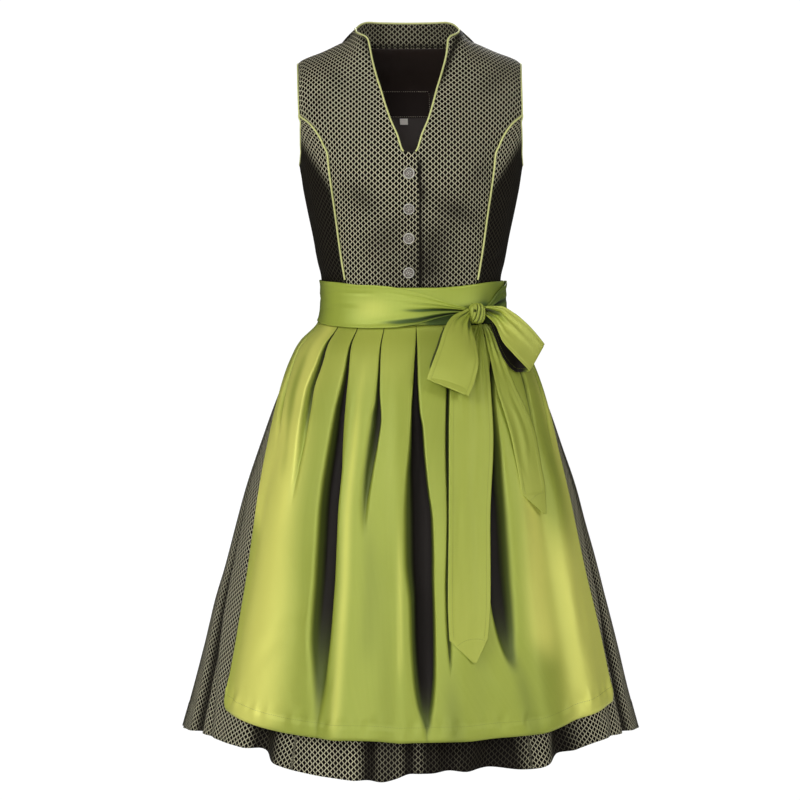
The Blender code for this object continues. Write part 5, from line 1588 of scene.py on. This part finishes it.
work = bmesh.new()
bmesh.ops.create_uvsphere(work, u_segments=150, v_segments=90, radius=1.0)
knot_facing = Vector(outward(KNOT["degrees"], KNOT["level"]))
knot_sideways = Vector((-knot_facing.y, knot_facing.x, 0))
knot_centre = Vector(around(KNOT["degrees"], KNOT["level"])) + knot_facing * KNOT["lift"]
knot_spots, knot_shade = {}, work.verts.layers.float.new("shade")
for vert in work.verts:
    side, front, height = [math.copysign(abs(value) ** 0.7, value) for value in vert.co]
    pressed = knot_depth(side, height) * (0.35 + 0.65 * abs(front))
    inwards = -Vector((side, front, height)).normalized() * pressed
    span = Vector((side * KNOT["wide"] / 2, front * KNOT["deep"] / 2, height * KNOT["high"] / 2)) + inwards
    # Painted shade, darker where the lines press further in.
    vert[knot_shade] = min(0.9, (pressed / KNOT_DEEPEST) ** 1.6)
    knot_spots[vert] = (span.x * 1.3 - span.z * 0.3, span.z * 1.2 + span.y)
    vert.co = knot_centre + knot_sideways * span.x + knot_facing * span.y + Vector((0, 0, span.z))
lay_pattern(work, knot_spots)
face_outwards(work)
finished("knot", mesh_of(work, "knot"), satin, "bow_knot")
print("lines across the knot:", len(KNOT_LINES))

# %% [markdown]
# ## Stitches
# Topstitching holds the hems down. Each stitch is a short round-ended piece of thread with a few dozen
# faces, laid on the finished cloth so that it follows every pucker. The line is found on the cloth itself:
# so many millimetres in from an edge.

# %% Stitches
STITCH = {"pitch": 0.003, "length": 0.0023, "radius": 0.00021}


def line_inside(name, edge, distance, start=0.0, end=1.0):
    """Places and normals on a line that runs a distance inside one edge of a laid panel."""
    places, normals, across, up = LAID[name]
    if edge in ("bottom", "top"):
        places, normals, runs = places.transpose(1, 0, 2), normals.transpose(1, 0, 2), up.T
    else:
        runs = across
    rows = range(round(start * (len(runs) - 1)), round(end * (len(runs) - 1)) + 1)
    target = [distance if edge in ("left", "bottom") else runs[row, -1] - distance for row in rows]
    return [np.array([[np.interp(goal, runs[row], field[row, :, axis]) for axis in range(3)]
                      for row, goal in zip(rows, target)]) for field in (places, normals)]


def sew(name, body_slot, look, *lines):
    """Stitches along lines of places and normals, as one piece."""
    shape = bmesh.new()
    bmesh.ops.create_uvsphere(shape, u_segments=6, v_segments=4, radius=1.0)
    one, work = mesh_of(shape, "one_stitch"), bmesh.new()
    count = 0
    for places, normals in lines:
        run = lengths(places)
        for middle in np.arange(STITCH["pitch"] / 2, run[-1], STITCH["pitch"]):
            ends = [Vector([np.interp(middle + half, run, places[:, axis]) for axis in range(3)])
                    for half in (-STITCH["length"] / 2, STITCH["length"] / 2)]
            up = Vector([np.interp(middle, run, normals[:, axis]) for axis in range(3)]).normalized()
            along = (ends[1] - ends[0]).normalized()
            turn = Matrix((along, up.cross(along).normalized(), up)).transposed().to_4x4()
            size = Matrix.Diagonal((STITCH["length"] / 2, STITCH["radius"], STITCH["radius"], 1))
            place = Matrix.Translation((ends[0] + ends[1]) / 2 + up * STITCH["radius"] * 0.4)
            laid = one.copy()
            laid.transform(place @ turn @ size)
            work.from_mesh(laid)
            bpy.data.meshes.remove(laid)
            count += 1
    bpy.data.meshes.remove(one)
    for face in work.faces:
        face.smooth = True
    print(f"{name}: {count} stitches")
    finished(name, mesh_of(work, name), look)


def on_inner_face(line, thickness):
    """The same line on the face of the cloth that looks into the dress."""
    places, normals = line
    return places - normals * thickness, -normals


def side_lines(names, distance, start, end):
    return [line_inside(name, edge, distance, start, end) for name in names for edge in ("left", "right")]


sew("stitches_apron", "satin", green_thread, line_inside("apron_cloth", "bottom", 0.019, 0.01, 0.99))
sew("stitches_loops", "satin", green_thread, *side_lines(("left_loop", "right_loop"), 0.0052, 0.1, 0.94))
sew("stitches_tails", "satin", green_thread, *side_lines(("long_tail", "short_tail"), 0.0055, POINT_SHARE, 0.9),
    line_inside("long_tail", "bottom", 0.03, 0.05, 0.95), line_inside("short_tail", "bottom", 0.027, 0.08, 0.92))
sew("stitches_label", "label", pale_thread,
    *[on_inner_face(line_inside("label_patch", edge, 0.0012, 0.03, 0.97), LABEL_WEAVE.thickness)
      for edge in ("left", "right", "bottom", "top")])

# %% [markdown]
# ## What was cut
# A garment is cut flat before it is sewn. Each cloth piece states the width and length of the part of its
# cut that shows, without seam allowances and turned-up hems, and its flat area where it isn't a rectangle.
# The jacquard panels are draped on the form, the skirt and the tails hang, and the apron and the ties are
# gathered into the band and the knot.

# %% The cut of each piece
FRONTS, SKIRTS = ("right_front", "left_front"), ("skirt_front_cloth", "skirt_back_cloth")
CUTS = (  # piece, width, length, area where the cut isn't a rectangle, how it is held, on what, what is on it
    ("right_front", 0.165, 0.385, 0.041, "draped", ("left_front",), ()),
    ("left_front", 0.165, 0.385, 0.041, "draped", ("back_bodice",), ()),
    ("left_side_front", 0.121, 0.253, 0.0185, "draped", ("left_front",), ()),
    ("right_side_front", 0.121, 0.253, 0.0185, "draped", ("right_front",), ()),
    ("back_bodice", 0.416, 0.384, 0.1205, "draped", FRONTS, ()),
    ("collar_behind", 0.254, 0.037, 0.007, "stretched", ("back_bodice",), ()),
    ("lining_behind", 0.39, 0.367, 0.1122, "draped", ("back_bodice",), ()),
    ("label_patch", 0.068, 0.037, None, "laid", ("lining_behind",), ("stitches_label",)),
    ("size_tag_patch", 0.0105, 0.01, None, "laid", ("lining_behind",), ()),
    ("skirt_front_cloth", 0.977, 0.641, 0.414, "hung", FRONTS, ()),
    ("skirt_back_cloth", 0.977, 0.641, 0.435, "hung", ("back_bodice",), ()),
    ("apron_cloth", 0.632, 0.554, None, "gathered", ("waistband", "skirt_front_cloth"), ("stitches_apron",)),
    ("waistband", 0.411, 0.056, None, "stretched", SKIRTS, ()),
    ("left_tie", 0.622, 0.058, None, "gathered", ("waistband",), ("knot",)),
    ("right_tie", 0.424, 0.055, None, "gathered", ("waistband",), ()),
    ("left_loop", 0.056, 0.264, None, "folded", ("knot",), ("stitches_loops",)),
    ("right_loop", 0.056, 0.219, None, "folded", ("knot",), ()),
    ("long_tail", 0.056, 0.478, None, "hung", ("knot", "apron_cloth"), ("stitches_tails",)),
    ("short_tail", 0.04, 0.282, None, "hung", ("knot", "apron_cloth"), ()),
)
for name, width, length, area, held, rests_on, on_it in CUTS:
    shown, cut = MEASURED[name], area or width * length
    print(f"{name}: cut {width:.3f} by {length:.3f} m, {cut:.4f} m2, shows {shown / cut:.2f} of it")
